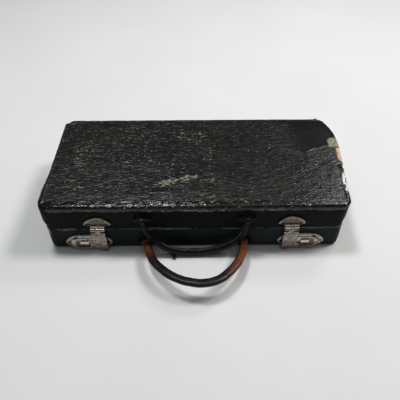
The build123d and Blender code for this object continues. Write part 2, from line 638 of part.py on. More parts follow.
def latch_cap():
    """Mushroom-shaped plate with a rolled rim, a curved neck and two knuckles."""
    chord_z = BASE_HEIGHT + CAP_CHORD_RISE
    place = Pos(HASP_X, chord_z)
    seat = on_front(LID_FRONT)
    outline = lens(CAP_CHORD, CAP_SAGITTA, CAP_BELLY)
    inner_chord = CAP_CHORD - CAP_TIP_WIDTH * 2
    opening = lens(inner_chord, CAP_SAGITTA - CAP_RIM_WIDTH, CAP_BELLY - CAP_RIM_WIDTH * 0.6)
    plate = extrude(seat * place * outline, CAP_SHEET)
    rim = extrude(seat * place * outline, CAP_RIM_RISE)
    rim = chamfer(rim.faces().sort_by(Axis.Y)[0].edges(), CAP_RIM_BEVEL)
    rim -= extrude(seat * place * opening, CAP_RIM_RISE)
    cap = plate + rim

    axis_y, axis_z = LATCH_AXIS_Y, LATCH_AXIS_Z
    face = -LID_FRONT
    top = chord_z - CAP_BELLY + CAP_RIM_WIDTH / 2
    swell = (face - CAP_RIM_RISE + axis_y - CAP_RIM_BEVEL * 2) / 2
    with BuildSketch(Plane.YZ.offset(HASP_X - CAP_NECK_WIDTH / 2)) as profile:
        with BuildLine():
            upper = Line((face, top), (face - CAP_RIM_RISE, top))
            knuckle_top = axis_z + LATCH_KNUCKLE_RADIUS
            bulge = ThreePointArc(upper @ 1, (swell, (top + knuckle_top) / 2), (axis_y, knuckle_top))
            down = Line(bulge @ 1, (axis_y, axis_z))
            back = Line(down @ 1, (face, axis_z + CAP_RIM_BEVEL))
            Line(back @ 1, upper @ 0)
        make_face()
    neck = extrude(profile.sketch, CAP_NECK_WIDTH)
    knuckle = rod_x(LATCH_KNUCKLE_RADIUS, CAP_NECK_WIDTH, HASP_X, axis_y, axis_z)
    clear = LATCH_KNUCKLE_RADIUS + HASP_GAP
    gap = rod_x(clear, CENTRE_KNUCKLE + 2 * KNUCKLE_GAP, HASP_X, axis_y, axis_z)
    cap = cap + neck + knuckle - gap
    cap -= rod_x(LATCH_PIN_RADIUS + FIXED_GAP, CAP_CHORD, HASP_X, axis_y, axis_z)
    for x, z in cap_nail_places():
        cap -= nail_hole(x, z, -LID_FRONT - CAP_RIM_RISE, 1, CAP_RIM_RISE + 1)
    return cap


def cap_nail_places():
    z = BASE_HEIGHT + CAP_CHORD_RISE + CAP_NAIL_RISE
    return [(HASP_X - CAP_NAIL_SPACING / 2, z), (HASP_X + CAP_NAIL_SPACING / 2, z)]


def latches():
    right = {
        "lock_back_plate": lock_back_plate(),
        "lock_pan": lock_pan(),
        "lock_slide": lock_slide(),
        "slide_spring": slide_spring(),
        "hasp": hasp(),
        "hasp_catch": hasp_catch(),
        "latch_cap": latch_cap(),
        "hasp_pin": rod_x(LATCH_PIN_RADIUS, CAP_NECK_WIDTH + 1, HASP_X, LATCH_AXIS_Y, LATCH_AXIS_Z),
    }
    nodes = {}
    for name, solid in right.items():
        nodes[f"left_{name}"] = mirrored(solid)
        nodes[f"right_{name}"] = solid
    flange_face = -(FRONT + BACK_PLATE + PAN_SHEET)
    depth = BACK_PLATE + PAN_SHEET + NAIL_DEPTH
    lock_nails = [nail(x, z, flange_face, 1, depth) for x, z in lock_nail_places()]
    nodes["lock_nails"] = lock_nails + [mirrored(item) for item in lock_nails]
    cap_face = -(LID_FRONT + CAP_SHEET)
    cap_nails = [nail(x, z, cap_face, 1, CAP_SHEET + NAIL_DEPTH) for x, z in cap_nail_places()]
    nodes["latch_cap_nails"] = cap_nails + [mirrored(item) for item in cap_nails]
    return nodes


def staple(x, z, wall_face):
    """Wire loop driven into the front wall; its bar carries a handle end."""
    tip = -wall_face + COVERING + STAPLE_DEPTH
    bar = rod_x(STAPLE_WIRE_RADIUS, 2 * (STAPLE_HALF_WIDTH + STAPLE_WIRE_RADIUS), x, STAPLE_Y, z)
    for side in SIDES:
        leg_x = x + side * STAPLE_HALF_WIDTH
        bar += rod_y(STAPLE_WIRE_RADIUS, tip, STAPLE_Y, leg_x, z)
    return bar


def staple_holes(spacing, z, wall_face):
    places = [side * spacing / 2 + leg * STAPLE_HALF_WIDTH for side in SIDES for leg in SIDES]
    radius = STAPLE_WIRE_RADIUS + FIXED_GAP
    return [rod_y(radius, -wall_face - 1, -wall_face + COVERING + WALL + 1, x, z) for x in places]


def arch(half, reach, end_radius):
    """Three tangent arcs: a tighter one at each end and a flatter one between."""
    run, drop = half - end_radius, reach - end_radius
    rise = (run ** 2 - drop ** 2) / (2 * drop)
    ratio = (reach + rise) / (reach + rise - end_radius)
    join_x, join_y = run * ratio, rise - rise * ratio
    turn = atan2(-join_y, join_x - run) / 2
    mid_x, mid_y = run + end_radius * cos(turn), -end_radius * sin(turn)
    return Wire([
        ThreePointArc((-half, 0), (-mid_x, mid_y), (-join_x, join_y)),
        ThreePointArc((-join_x, join_y), (0, -reach), (join_x, join_y)),
        ThreePointArc((join_x, join_y), (mid_x, mid_y), (half, 0)),
    ])


def handle(spacing, reach, droop, pivot_z, end_radius, grip_size):
    """Leather grip bent to an arch, with an eye at each end round the staple bar."""
    half = spacing / 2
    width, thickness = grip_size
    start = Plane(origin=(-half, 0, 0), x_dir=(1, 0, 0), z_dir=(0, -1, 0))
    section = Rectangle(width, thickness)
    section = chamfer(section.vertices(), GRIP_BEVEL)
    grip = sweep(start * section, arch(half, reach, end_radius))
    for side in SIDES:
        x = side * half
        wide, narrow = LOOP_LENGTH / 2, width / 2
        low_x = x - side * LOOP_LEAN
        outline = Polyline(
            (x - wide, 0), (x + wide, 0), (low_x + narrow, -LOOP_TAPER_LENGTH),
            (low_x - narrow, -LOOP_TAPER_LENGTH), (x - wide, 0),
        )
        grip += extrude(make_face(outline), LOOP_TAPER_THICKNESS / 2, both=True)
        grip += rod_x(LOOP_RADIUS, LOOP_LENGTH, x, 0, 0)
    grip -= rod_x(STAPLE_WIRE_RADIUS + HANDLE_GAP, 2 * spacing, 0, 0, 0)
    return Pos(0, STAPLE_Y, pivot_z) * Rot(droop, 0, 0) * grip


def handles():
    lid_size = (STAPLE_SPACING_LID, LID_HANDLE_REACH, LID_HANDLE_DROOP, LID_STAPLE_Z, LID_HANDLE_BEND)
    base_size = (STAPLE_SPACING_BASE, BASE_HANDLE_REACH, -BASE_HANDLE_LIFT, BASE_STAPLE_Z, BASE_HANDLE_BEND)
    lid_places = [side * STAPLE_SPACING_LID / 2 for side in SIDES]
    base_places = [side * STAPLE_SPACING_BASE / 2 for side in SIDES]
    return {
        "lid_handle": handle(*lid_size, LID_GRIP),
        "base_handle": handle(*base_size, BASE_GRIP),
        "lid_handle_staples": [staple(x, LID_STAPLE_Z, LID_FRONT) for x in lid_places],
        "base_handle_staples": [staple(x, BASE_STAPLE_Z, FRONT) for x in base_places],
    }


def wall_holes(part):
    """Every nail and staple hole in the walls and covering of the base or lid."""
    depth = NAIL_DEPTH + 1
    if part == "base":
        holes = staple_holes(STAPLE_SPACING_BASE, BASE_STAPLE_Z, FRONT)
        holes += [nail_hole(x, z, FRONT + 1, -1, depth) for x, z in hinge_nail_places("lower")]
        holes += [nail_hole(s * x, z, -FRONT - 1, 1, depth) for x, z in lock_nail_places() for s in SIDES]
        return holes
    holes = staple_holes(STAPLE_SPACING_LID, LID_STAPLE_Z, LID_FRONT)
    holes += [nail_hole(x, z, LID_FRONT + 1, -1, depth) for x, z in hinge_nail_places("upper")]
    holes += [nail_hole(s * x, z, -LID_FRONT - 1, 1, depth) for x, z in cap_nail_places() for s in SIDES]
    return holes


def whole_case():
    nodes = {}
    nodes.update(base_body(wall_holes("base")))
    nodes.update(lid_body(wall_holes("lid")))
    nodes.update(linings())
    nodes.update(fitted_insert())
    nodes.update(rear_hinges())
    nodes.update(latches())
    nodes.update(handles())
    return nodes


os.makedirs("parts", exist_ok=True)
for node_name, shape in whole_case().items():
    solids = shape if isinstance(shape, list) else [shape]
    pieces = [solid for item in solids for solid in item.solids()]
    export_step(Compound(children=pieces), f"parts/{node_name}.step")
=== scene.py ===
import math
import bmesh
import bpy
import numpy as np
from mathutils import Matrix, Vector


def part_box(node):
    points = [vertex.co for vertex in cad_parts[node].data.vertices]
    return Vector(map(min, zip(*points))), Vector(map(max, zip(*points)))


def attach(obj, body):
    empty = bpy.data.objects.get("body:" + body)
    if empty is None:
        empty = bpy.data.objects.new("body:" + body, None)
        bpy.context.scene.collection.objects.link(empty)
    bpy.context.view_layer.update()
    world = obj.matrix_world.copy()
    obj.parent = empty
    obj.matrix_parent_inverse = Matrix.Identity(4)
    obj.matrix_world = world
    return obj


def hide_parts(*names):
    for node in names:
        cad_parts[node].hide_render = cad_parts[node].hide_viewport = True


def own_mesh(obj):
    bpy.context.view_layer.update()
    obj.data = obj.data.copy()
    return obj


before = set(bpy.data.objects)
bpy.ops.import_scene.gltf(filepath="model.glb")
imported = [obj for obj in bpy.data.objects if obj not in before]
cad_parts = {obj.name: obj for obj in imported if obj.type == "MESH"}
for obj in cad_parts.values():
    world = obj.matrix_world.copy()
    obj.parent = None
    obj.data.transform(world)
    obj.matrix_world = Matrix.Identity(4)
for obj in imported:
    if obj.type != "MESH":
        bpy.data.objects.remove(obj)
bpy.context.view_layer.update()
scene = bpy.context.scene
MM = 0.001

# Sizes of the case, in millimetres
HALF_LENGTH = 190.5
HALF_DEPTH = 90.0
PLAN_RADIUS = 10.0
SEAM = 36.0
TOP = 76.0
EDGE_RADIUS = 4.8
HEM_DROP = 8.5

# The straight part of the plan, each way from the middle
FLAT_X, FLAT_Y = HALF_LENGTH - PLAN_RADIUS, HALF_DEPTH - PLAN_RADIUS

# Side coverings: millimetres per step along a straight side, steps over a corner and over a rounded edge
STRAIGHT_STEP = 2.4
CORNER_STEPS = 9
ARC_STEPS = 6

# Length of the cloth simulation
CLOTH_FRAMES = 20

# Each handle: its pivot's y and z in millimetres, the degrees it hangs below level, and what it rides on
LID_HANDLE = {"pivot": (-95.2, 57.0), "droop": 80, "body": "lid_handle_body", "slot": "black_leather"}
BASE_HANDLE = {"pivot": (-95.2, 17.0), "droop": -8, "body": "base_handle_body", "slot": "brown_leather"}

# Camera at the photograph's place; its focal length is in pixels of the picture's width
PHOTO_WIDTH = 400
SENSOR_WIDTH = 36
FOCAL = 436.79
PITCH = math.radians(45.357)
YAW = math.radians(0.460)
ROLL = math.radians(-0.147)
CAMERA_PLACE = Vector((0.00384, -0.45489, 0.45717))


def linked(name, data):
    obj = bpy.data.objects.new(name, data)
    scene.collection.objects.link(obj)
    return obj


def add_camera():
    ahead = Vector((math.sin(YAW) * math.cos(PITCH), math.cos(YAW) * math.cos(PITCH), -math.sin(PITCH)))
    level = Vector((math.cos(YAW), -math.sin(YAW), 0))
    upright = level.cross(ahead)
    right = level * math.cos(ROLL) + upright * math.sin(ROLL)
    up = -level * math.sin(ROLL) + upright * math.cos(ROLL)
    camera = linked("camera", bpy.data.cameras.new("camera"))
    rows = [(right[i], up[i], -ahead[i], CAMERA_PLACE[i]) for i in range(3)]
    camera.matrix_world = Matrix((*rows, (0, 0, 0, 1)))
    camera.data.sensor_width = SENSOR_WIDTH
    camera.data.lens = SENSOR_WIDTH * FOCAL / PHOTO_WIDTH
    camera.data.clip_start = 0.01
    camera.data.clip_end = 20
    scene.camera = camera
    scene.view_settings.view_transform = "Standard"


# Smooth random fields over points, always the same for the same seed
def lattice(ix, iy, iz, seed):
    n = ix * 374761393 + iy * 668265263 + iz * 974634777 + seed * 144665
    n = (n & 0x7FFFFFFF) ^ ((n & 0x7FFFFFFF) >> 13)
    n = (n * 1274126177) & 0x7FFFFFFF
    n = n ^ (n >> 16)
    return (n & 0xFFFF) / 32767.5 - 1


def field(points, cell, seed):
    """Values from -1 to 1 that change smoothly over about one cell (a number or three)."""
    p = np.asarray(points, float) / np.asarray(cell, float)
    low = np.floor(p).astype(np.int64)
    t = p - low
    t = t * t * (3 - 2 * t)
    total = np.zeros(len(p))
    for dx in (0, 1):
        for dy in (0, 1):
            for dz in (0, 1):
                weight = np.abs(1 - dx - t[:, 0]) * np.abs(1 - dy - t[:, 1]) * np.abs(1 - dz - t[:, 2])
                total += weight * lattice(low[:, 0] + dx, low[:, 1] + dy, low[:, 2] + dz, seed)
    return total


def ease(value, start, end):
    t = np.clip((value - start) / (end - start), 0, 1)
    return t * t * (3 - 2 * t)


def spot(points, centre, size, turn=0.0):
    """1 in the middle of an oval patch on the plan, 0 outside it; size is half its length and width."""
    c, s = math.cos(turn), math.sin(turn)
    dx, dy = points[:, 0] - centre[0], points[:, 1] - centre[1]
    along, across = (dx * c + dy * s) / size[0], (dy * c - dx * s) / size[1]
    return 1 - ease(np.sqrt(along ** 2 + across ** 2), 0.45, 1.1)


# Nodes and materials
class Nodes:
    """Short calls that add shader nodes to a tree and join them."""

    def __init__(self, tree):
        self.tree = tree

    def add(self, kind, inputs=None, **settings):
        node = self.tree.nodes.new("ShaderNode" + kind)
        for key, value in settings.items():
            setattr(node, key, value)
        for key, value in (inputs or {}).items():
            self.put(node.inputs[key], value)
        return node

    def put(self, socket, value):
        """Joins a socket, or sets it; one number for a colour is a grey."""
        if isinstance(value, bpy.types.NodeSocket):
            self.tree.links.new(value, socket)
        elif socket.type == "RGBA":
            socket.default_value = (*value, 1) if isinstance(value, tuple) else (value, value, value, 1)
        else:
            socket.default_value = value

    def axis(self, vector, name):
        return self.add("SeparateXYZ", {0: vector}).outputs[name]

    def span(self, value, low, high, start=0.0, end=1.0, curve="LINEAR"):
        values = {"Value": value, "From Min": low, "From Max": high, "To Min": start, "To Max": end}
        return self.add("MapRange", values, interpolation_type=curve).outputs["Result"]

    def math(self, operation, a, b):
        return self.add("Math", {0: a, 1: b}, operation=operation).outputs[0]

    def plus(self, a, b):
        return self.math("ADD", a, b)

    def minus(self, a, b):
        return self.math("SUBTRACT", a, b)

    def times(self, a, b):
        return self.math("MULTIPLY", a, b)

    def mix(self, share, a, b):
        return self.add("Mix", {0: share, 6: a, 7: b}, data_type="RGBA").outputs[2]

    def blend(self, value, low, high, a, b, most=1.0):
        """From a to b as the value goes from low to high; most is the greatest share of b."""
        return self.mix(self.span(value, low, high, 0.0, most), a, b)


class Paint(Nodes):
    """A material, with its textures taken in the object's own coordinates."""

    def __init__(self, name):
        self.mat = bpy.data.materials.new(name)
        self.mat.use_nodes = True
        super().__init__(self.mat.node_tree)
        self.shader = self.tree.nodes["Principled BSDF"]
        self.place = self.add("TexCoord").outputs["Object"]

    def at(self, place, stretch):
        place = place or self.place
        if not stretch:
            return place
        return self.add("VectorMath", {0: place, 1: stretch}, operation="MULTIPLY").outputs[0]

    def noise(self, scale, detail=3.0, rough=0.55, distort=0.0, place=None, stretch=None):
        values = {"Vector": self.at(place, stretch), "Scale": scale, "Detail": detail}
        values.update({"Roughness": rough, "Distortion": distort})
        return self.add("TexNoise", values).outputs["Fac"]

    def warped(self, scale, amount):
        """Coordinates pushed about by a noise."""
        noise = self.add("TexNoise", {"Vector": self.place, "Scale": scale, "Detail": 2.0}).outputs["Color"]
        centred = self.add("VectorMath", {0: noise, 1: (0.5, 0.5, 0.5)}, operation="SUBTRACT").outputs[0]
        inputs = {0: centred, 1: (amount, amount, amount), 2: self.place}
        return self.add("VectorMath", inputs, operation="MULTIPLY_ADD").outputs[0]

    def cells(self, scale, place, stretch=None):
        """Distance to the edges between cells."""
        inputs = {"Vector": self.at(place, stretch), "Scale": scale}
        return self.add("TexVoronoi", inputs, feature="DISTANCE_TO_EDGE").outputs["Distance"]

    def value(self, name):
        return self.add("Attribute", attribute_name=name).outputs["Fac"]

    def finish(self, tone, rough, height, depth, strength=1.0, rounding=None, **values):
        """Sets colour, roughness and relief, in metres; rounding softens the mesh's own edges."""
        relief = {"Height": height, "Distance": depth, "Strength": strength}
        if rounding:
            relief["Normal"] = self.add("Bevel", {"Radius": rounding}, samples=6).outputs["Normal"]
        values.update(Base_Color=tone, Roughness=rough, Normal=self.add("Bump", relief).outputs["Normal"])
        for key, value in values.items():
            self.put(self.shader.inputs[key.replace("_", " ")], value)
        return self.mat


def tinted(colour, factor):
    return tuple(factor * c for c in colour)


def top_leather():
    """Coarse black-brown leatherette with long-grain creases, worn to an olive cloth in places."""
    p = Paint("top_leatherette")
    smooth, gloss, torn, edge_highlight = (p.value(name) for name in ("smooth", "gloss", "torn", "edge"))
    bent = p.warped(48, 0.0075)
    wide = p.cells(95, bent, stretch=(1, 3.6, 3.6))
    narrow = p.cells(190, bent, stretch=(1, 3.4, 3.4))
    waves = p.noise(125, 3, 0.5, place=bent, stretch=(0.90, 2.6, 2.6))
    grain = p.span(narrow, 0, 0.50, 0.50, 1, "SMOOTHSTEP")
    grain = p.times(p.span(wide, 0, 0.50, 0, 1, "SMOOTHSTEP"), grain)
    fine = p.noise(800, 4, stretch=(0.5, 1, 1))
    broad = p.noise(16, 4)
    rubbed = p.times(grain, p.span(waves, 0.46, 0.70))
    tone = p.blend(broad, 0.35, 0.68, (0.0038, 0.0033, 0.0029), (0.0075, 0.0065, 0.0053))
    tone = p.mix(p.times(rubbed, 0.5), tone, (0.020, 0.0185, 0.015))
    breaks = p.noise(250, 5, 0.75, stretch=(0.75, 1.3, 1.3))
    wear = p.span(p.minus(p.value("wear"), p.span(breaks, 0.33, 0.60, 0.05, 1)), 0, 0.12, 0, 0.9)
    olive = p.blend(p.noise(420, 3), 0.35, 0.65, (0.10, 0.097, 0.058), (0.36, 0.35, 0.24))
    # Painted highlight: pale grey flecks on the grain's peaks along the front edge's rounding and along the lumps
    # of the right edge.
    edge = p.times(edge_highlight, p.span(p.plus(grain, waves), 0.92, 1.22))
    tone = p.mix(p.times(edge, 0.75), tone, (0.33, 0.325, 0.31))
    tone = p.mix(wear, tone, olive)
    # Pale marks: painted highlights along the crease's lit edge and painted glints on the right edge, with a nick
    # and a small pale patch.
    pale = p.span(p.minus(p.value("pale"), p.span(breaks, 0.3, 0.7, 0, 0.4)), 0, 0.5)
    tone = p.mix(pale, tone, (0.66, 0.66, 0.64))
    flecks = p.span(p.noise(330, 2, 0.4), 0.71, 0.74)
    tone = p.mix(p.times(flecks, 0.7), tone, (0.34, 0.33, 0.29))
    bare = p.blend(broad, 0.4, 0.6, (0.0025, 0.0025, 0.0032), (0.0060, 0.0052, 0.0052))
    tone = p.mix(smooth, tone, bare)
    fibres = p.noise(240, 6, 0.75, stretch=(1, 0.18, 1))
    board = p.blend(fibres, 0.35, 0.68, (0.38, 0.20, 0.11), (0.85, 0.62, 0.45))
    tone = p.mix(torn, tone, board)
    # Painted shade: the small gap in the right edge is painted near black.
    tone = p.mix(p.value("dark"), tone, (0.004, 0.004, 0.004))
    rough = p.span(p.noise(85, 3), 0.3, 0.7, 0.27, 0.38)
    rough = p.mix(gloss, rough, 0.20)
    rough = p.mix(edge_highlight, rough, 0.17)
    rough = p.mix(smooth, rough, 0.26)
    rough = p.mix(wear, rough, 0.8)
    rough = p.mix(torn, rough, 0.9)
    height = p.plus(p.times(grain, 0.34), p.times(waves, 0.85))
    height = p.plus(height, p.times(fine, p.span(gloss, 0, 1, 0.12, 0.50)))
    height = p.times(height, p.span(gloss, 0, 1, 1, 0.62))
    height = p.times(height, p.span(smooth, 0, 1, 1, 0.12))
    return p.finish(tone, rough, height, 0.00092, Specular_IOR_Level=0.40)


def side_leather(name, light):
    """Smoother blue-black book cloth on the walls, rubbed pale along the rims, the line along the base's top rim
    partly as a painted highlight; its second argument scales the cloth's colour as painted light, lighter for the
    base and darker for the lid.
    """
    p = Paint(name)
    cells = p.span(p.cells(620, p.warped(300, 0.002)), 0, 0.3)
    broad = p.noise(13, 4)
    smear = p.noise(36, 4, stretch=(0.35, 1, 1.6))
    deep, faded = (0.0028, 0.0047, 0.0054), (0.0068, 0.0098, 0.0107)
    tone = p.blend(broad, 0.35, 0.66, tinted(deep, light), tinted(faded, light))
    tone = p.blend(smear, 0.5, 0.8, tone, (0.022, 0.026, 0.029), 0.35)
    breaks = p.noise(260, 5, 0.7, stretch=(0.5, 0.5, 1.6))
    wear = p.minus(p.times(p.value("wear"), 1.1), p.span(breaks, 0.3, 0.66, 0.25, 1))
    wear = p.span(wear, 0, 0.28)
    tone = p.mix(wear, tone, p.blend(breaks, 0.4, 0.6, (0.07, 0.073, 0.073), (0.27, 0.28, 0.27)))
    chipped = p.blend(p.noise(300, 4), 0.35, 0.65, (0.34, 0.20, 0.11), (0.66, 0.47, 0.31))
    tone = p.mix(p.value("torn"), tone, chipped)
    rough = p.mix(wear, p.span(smear, 0.3, 0.75, 0.38, 0.58), 0.8)
    return p.finish(tone, rough, p.plus(p.times(cells, 0.5), p.times(p.noise(90, 4), 0.9)), 0.00022,
                    Specular_IOR_Level=0.055)


def bottom_paper():
    """Pebbled black paper on the underside, scuffed grey-brown."""
    p = Paint("bottom_paper")
    pebbles = p.span(p.cells(520, p.warped(260, 0.002)), 0, 0.35)
    scuff = p.noise(30, 6, 0.7, stretch=(0.3, 1, 1))
    tone = p.blend(p.noise(11, 3), 0.35, 0.65, (0.016, 0.015, 0.014), (0.03, 0.027, 0.024))
    tone = p.blend(scuff, 0.55, 0.72, tone, (0.16, 0.14, 0.11), 0.6)
    return p.finish(tone, p.span(scuff, 0.3, 0.7, 0.55, 0.8), pebbles, 0.0003)


def wood():
    """Pale softwood boards with long grain, darker with age."""
    p = Paint("raw_wood")
    rings = p.noise(55, 4, 0.6, 0.6, stretch=(0.12, 1, 1.6))
    pores = p.noise(900, 3, stretch=(0.05, 1, 1))
    tone = p.blend(rings, 0.35, 0.65, (0.26, 0.155, 0.080), (0.46, 0.31, 0.17))
    tone = p.blend(pores, 0.55, 0.75, tone, (0.14, 0.075, 0.035), 0.6)
    return p.finish(tone, p.span(rings, 0.3, 0.7, 0.62, 0.78), p.plus(rings, p.times(pores, 0.6)), 0.0003)


def plush(name, deep, pale):
    """Short velvet pile, brushed and crushed in patches."""
    p = Paint(name)
    pile = p.noise(1700, 2, stretch=(1, 1, 0.6))
    brushed = p.noise(24, 4, 0.6, 0.8)
    crushed = p.noise(75, 3, 0.6)
    tone = p.blend(brushed, 0.36, 0.66, deep, pale)
    tone = p.blend(crushed, 0.55, 0.75, tone, tinted(deep, 0.45), 0.45)
    tone = p.blend(pile, 0.5, 0.75, tone, tinted(pale, 1.7), 0.5)
    return p.finish(tone, p.span(brushed, 0.3, 0.7, 0.78, 0.95), p.plus(pile, p.times(crushed, 0.8)), 0.0006,
                    Sheen_Weight=0.55, Sheen_Roughness=0.4, Sheen_Tint=(0.9, 0.35, 0.40),
                    Specular_IOR_Level=0.2)


def nickel(name="nickel", grime_depth=None, dish=None):
    """Nickel plate gone warm and cloudy, with brown dirt and painted shade in its corners, and painted highlights
    on its faces that point up.

    Behind grime_depth it is grimy all over, and near dish its floor is painted darker as painted shade, with a
    darker spot painted over the keyhole as its shade;
    both are places along the y axis, in metres.
    """
    p = Paint(name)
    cloud = p.noise(170, 5, 0.65)
    stain = p.noise(340, 4, 0.62)
    hairline = p.noise(2600, 2, stretch=(1, 1, 0.06))
    shine = 1 if dish is None else 1.75
    clean, dull = (0.36, 0.317, 0.275), (0.138, 0.115, 0.093)
    tone = p.blend(cloud, 0.35, 0.66, tinted(clean, shine), tinted(dull, shine))
    tone = p.blend(stain, 0.55, 0.63, tone, (0.060, 0.043, 0.030), 0.85)
    # Brown dirt and painted shade: the colour goes darker where the ambient occlusion finds corners and hollows.
    corner = p.add("AmbientOcclusion", {"Distance": 0.0011}, samples=6).outputs["AO"]
    grime_and_shade = p.times(p.span(corner, 0.72, 0.35), p.span(cloud, 0.25, 0.6, 0.55, 1))
    tone = p.mix(grime_and_shade, tone, (0.075, 0.055, 0.035))
    # Painted highlight: faces that point up are painted pale, as if they caught the overhead light.
    painted_highlight_up = p.span(p.axis(p.add("NewGeometry").outputs["Normal"], "Z"), 0.45, 0.80)
    painted_highlight_up = p.times(painted_highlight_up, p.span(stain, 0.66, 0.54, 0.45, 1))
    tone = p.mix(p.times(painted_highlight_up, 0.85), tone, (0.86, 0.81, 0.74))
    rough = p.span(cloud, 0.3, 0.72, 0.14, 0.32)
    rough = p.mix(grime_and_shade, rough, 0.75)
    if grime_depth is not None:
        deep = p.span(p.axis(p.place, "Y"), grime_depth - 0.0002, grime_depth + 0.0002)
        deep = p.times(deep, p.span(stain, 0.25, 0.62, 0.95, 0.55))
        tone = p.mix(deep, tone, (0.13, 0.110, 0.060))
        rough = p.mix(deep, rough, 0.55)
    if dish is not None:
        level = p.axis(p.place, "Y")
        # Painted shade: the floor of the dish round the thumb button is painted darker.
        floor = p.times(p.span(level, dish - 0.0005, dish - 0.0003),
                        p.span(level, dish + 0.0003, dish + 0.0002))
        floor = p.times(floor, p.span(stain, 0.25, 0.62, 0.95, 0.6))
        tone = p.mix(floor, tone, (0.055, 0.042, 0.027))
        # Painted shade: a darker spot painted over the keyhole.
        keyhole = {0: p.place, 1: (0.1343, -0.0950, 0.0128)}
        far = p.add("VectorMath", keyhole, operation="DISTANCE").outputs["Value"]
        tone = p.blend(far, 0.0024, 0.0018, tone, (0.030, 0.014, 0.008))
    return p.finish(tone, rough, p.plus(p.times(stain, 0.7), p.times(hairline, 0.3)), 0.00006, 0.8, 0.00075,
                    Metallic=1)


def bright_nickel():
    """Thumb buttons, polished by use."""
    p = Paint("bright_nickel")
    cloud = p.noise(400, 4, 0.65)
    scuff = p.noise(2200, 3, stretch=(0.1, 1, 1))
    tone = p.blend(cloud, 0.45, 0.70, (0.86, 0.81, 0.74), (0.56, 0.50, 0.43))
    return p.finish(tone, p.span(scuff, 0.3, 0.7, 0.14, 0.30), scuff, 0.00004, 0.6, 0.0005, Metallic=1)


def dark_steel(name, pale, deep, rusty):
    """Iron or spring steel, brown-black with a little rust."""
    p = Paint(name)
    cloud = p.noise(260, 5, 0.65)
    rust = p.noise(620, 5, 0.7)
    tone = p.blend(cloud, 0.35, 0.66, pale, deep)
    tone = p.blend(rust, 0.55, 0.72, tone, rusty, 0.7)
    return p.finish(tone, p.span(rust, 0.35, 0.7, 0.38, 0.72), rust, 0.00015, Metallic=0.85)


def black_handle_leather():
    """Old black leather, cracked across and polished by hands."""
    p = Paint("black_leather")
    cracks = p.span(p.cells(430, p.warped(160, 0.004)), 0, 0.22)
    cloud = p.noise(120, 5)
    tone = p.blend(cloud, 0.35, 0.66, (0.0020, 0.0030, 0.0048), (0.0050, 0.0062, 0.0085))
    tone = p.blend(p.noise(340, 4, 0.7), 0.58, 0.72, tone, (0.05, 0.045, 0.04), 0.5)
    return p.finish(tone, p.span(cloud, 0.3, 0.7, 0.15, 0.32),
                    p.plus(p.times(cracks, 0.6), p.times(cloud, 1.5)), 0.00016, Specular_IOR_Level=0.14)


def brown_handle_leather():
    """Tan leather, orange-brown at its ends and black with handling in the middle."""
    p = Paint("brown_leather")
    held = p.value("held")
    streak = p.noise(320, 5, 0.7, stretch=(0.5, 0.5, 1))
    cloud = p.noise(95, 4, 0.65)
    tan = p.blend(cloud, 0.34, 0.66, (0.045, 0.014, 0.006), (0.20, 0.060, 0.022))
    tan = p.blend(streak, 0.5, 0.72, tan, (0.045, 0.017, 0.010), 0.75)
    black = p.blend(cloud, 0.35, 0.66, (0.0055, 0.0042, 0.0045), (0.014, 0.0085, 0.0078))
    share = p.span(p.plus(held, p.span(cloud, 0.3, 0.7, -0.16, 0.16)), 0.22, 0.80)
    tone = p.mix(share, tan, black)
    tone = p.mix(p.value("rim"), tone, (0.010, 0.007, 0.006))
    cracks = p.span(p.cells(520, p.warped(200, 0.003)), 0, 0.25)
    return p.finish(tone, p.span(cloud, 0.3, 0.7, 0.24, 0.44), p.plus(p.times(cracks, 0.35), streak), 0.00014,
                    Specular_IOR_Level=0.22)


def waxed_thread(name, pale, deep):
    """Twisted thread of the handles' stitching."""
    p = Paint(name)
    twist = p.noise(2400, 2, stretch=(1, 1, 0.4))
    tone = p.blend(twist, 0.35, 0.65, deep, pale)
    return p.finish(tone, p.span(twist, 0.3, 0.7, 0.25, 0.5), twist, 0.0002)


def plain_floor():
    """Pale matt floor with hardly any relief."""
    p = Paint("floor")
    tone = p.blend(p.noise(5, 3), 0.3, 0.7, (0.70, 0.705, 0.70), (0.73, 0.735, 0.73))
    return p.finish(tone, 0.95, p.noise(900, 2), 0.0002, 0.3, Specular_IOR_Level=0.1)


# Mesh pieces
def piece(name, points, faces, material, **values):
    """Mesh object from points in millimetres, with a number per point for each named value."""
    mesh = bpy.data.meshes.new(name)
    mesh.from_pydata([tuple(q) for q in np.asarray(points, float) * MM], [], [list(f) for f in faces])
    mesh.validate()
    mesh.materials.append(material)
    obj = linked(name, mesh)
    smoothed(obj)
    store(obj, **values)
    return obj


def closed_piece(name, points, faces, material, *finish, **values):
    """The same for a closed skin, with its faces turned outward; finish is what finish_piece takes."""
    obj = piece(name, points, faces, material, **values)
    recalculate(obj)
    return finish_piece(obj, *finish) if finish else obj


def recalculate(obj):
    bm = bmesh.new()
    bm.from_mesh(obj.data)
    bmesh.ops.recalc_face_normals(bm, faces=bm.faces)
    bm.to_mesh(obj.data)
    bm.free()


def smoothed(obj):
    obj.data.polygons.foreach_set("use_smooth", [True] * len(obj.data.polygons))


def painted(obj, material):
    obj.data.materials.clear()
    obj.data.materials.append(material)


def store(obj, **values):
    """Numbers per point that the materials read by name."""
    for key, data in values.items():
        layer = obj.data.attributes.new(key, "FLOAT", "POINT")
        layer.data.foreach_set("value", np.asarray(data, np.float32))


def applied(obj):
    """Applies every modifier and leaves a plain mesh."""
    bpy.context.view_layer.update()
    graph = bpy.context.evaluated_depsgraph_get()
    mesh = bpy.data.meshes.new_from_object(obj.evaluated_get(graph))
    obj.modifiers.clear()
    obj.data = mesh


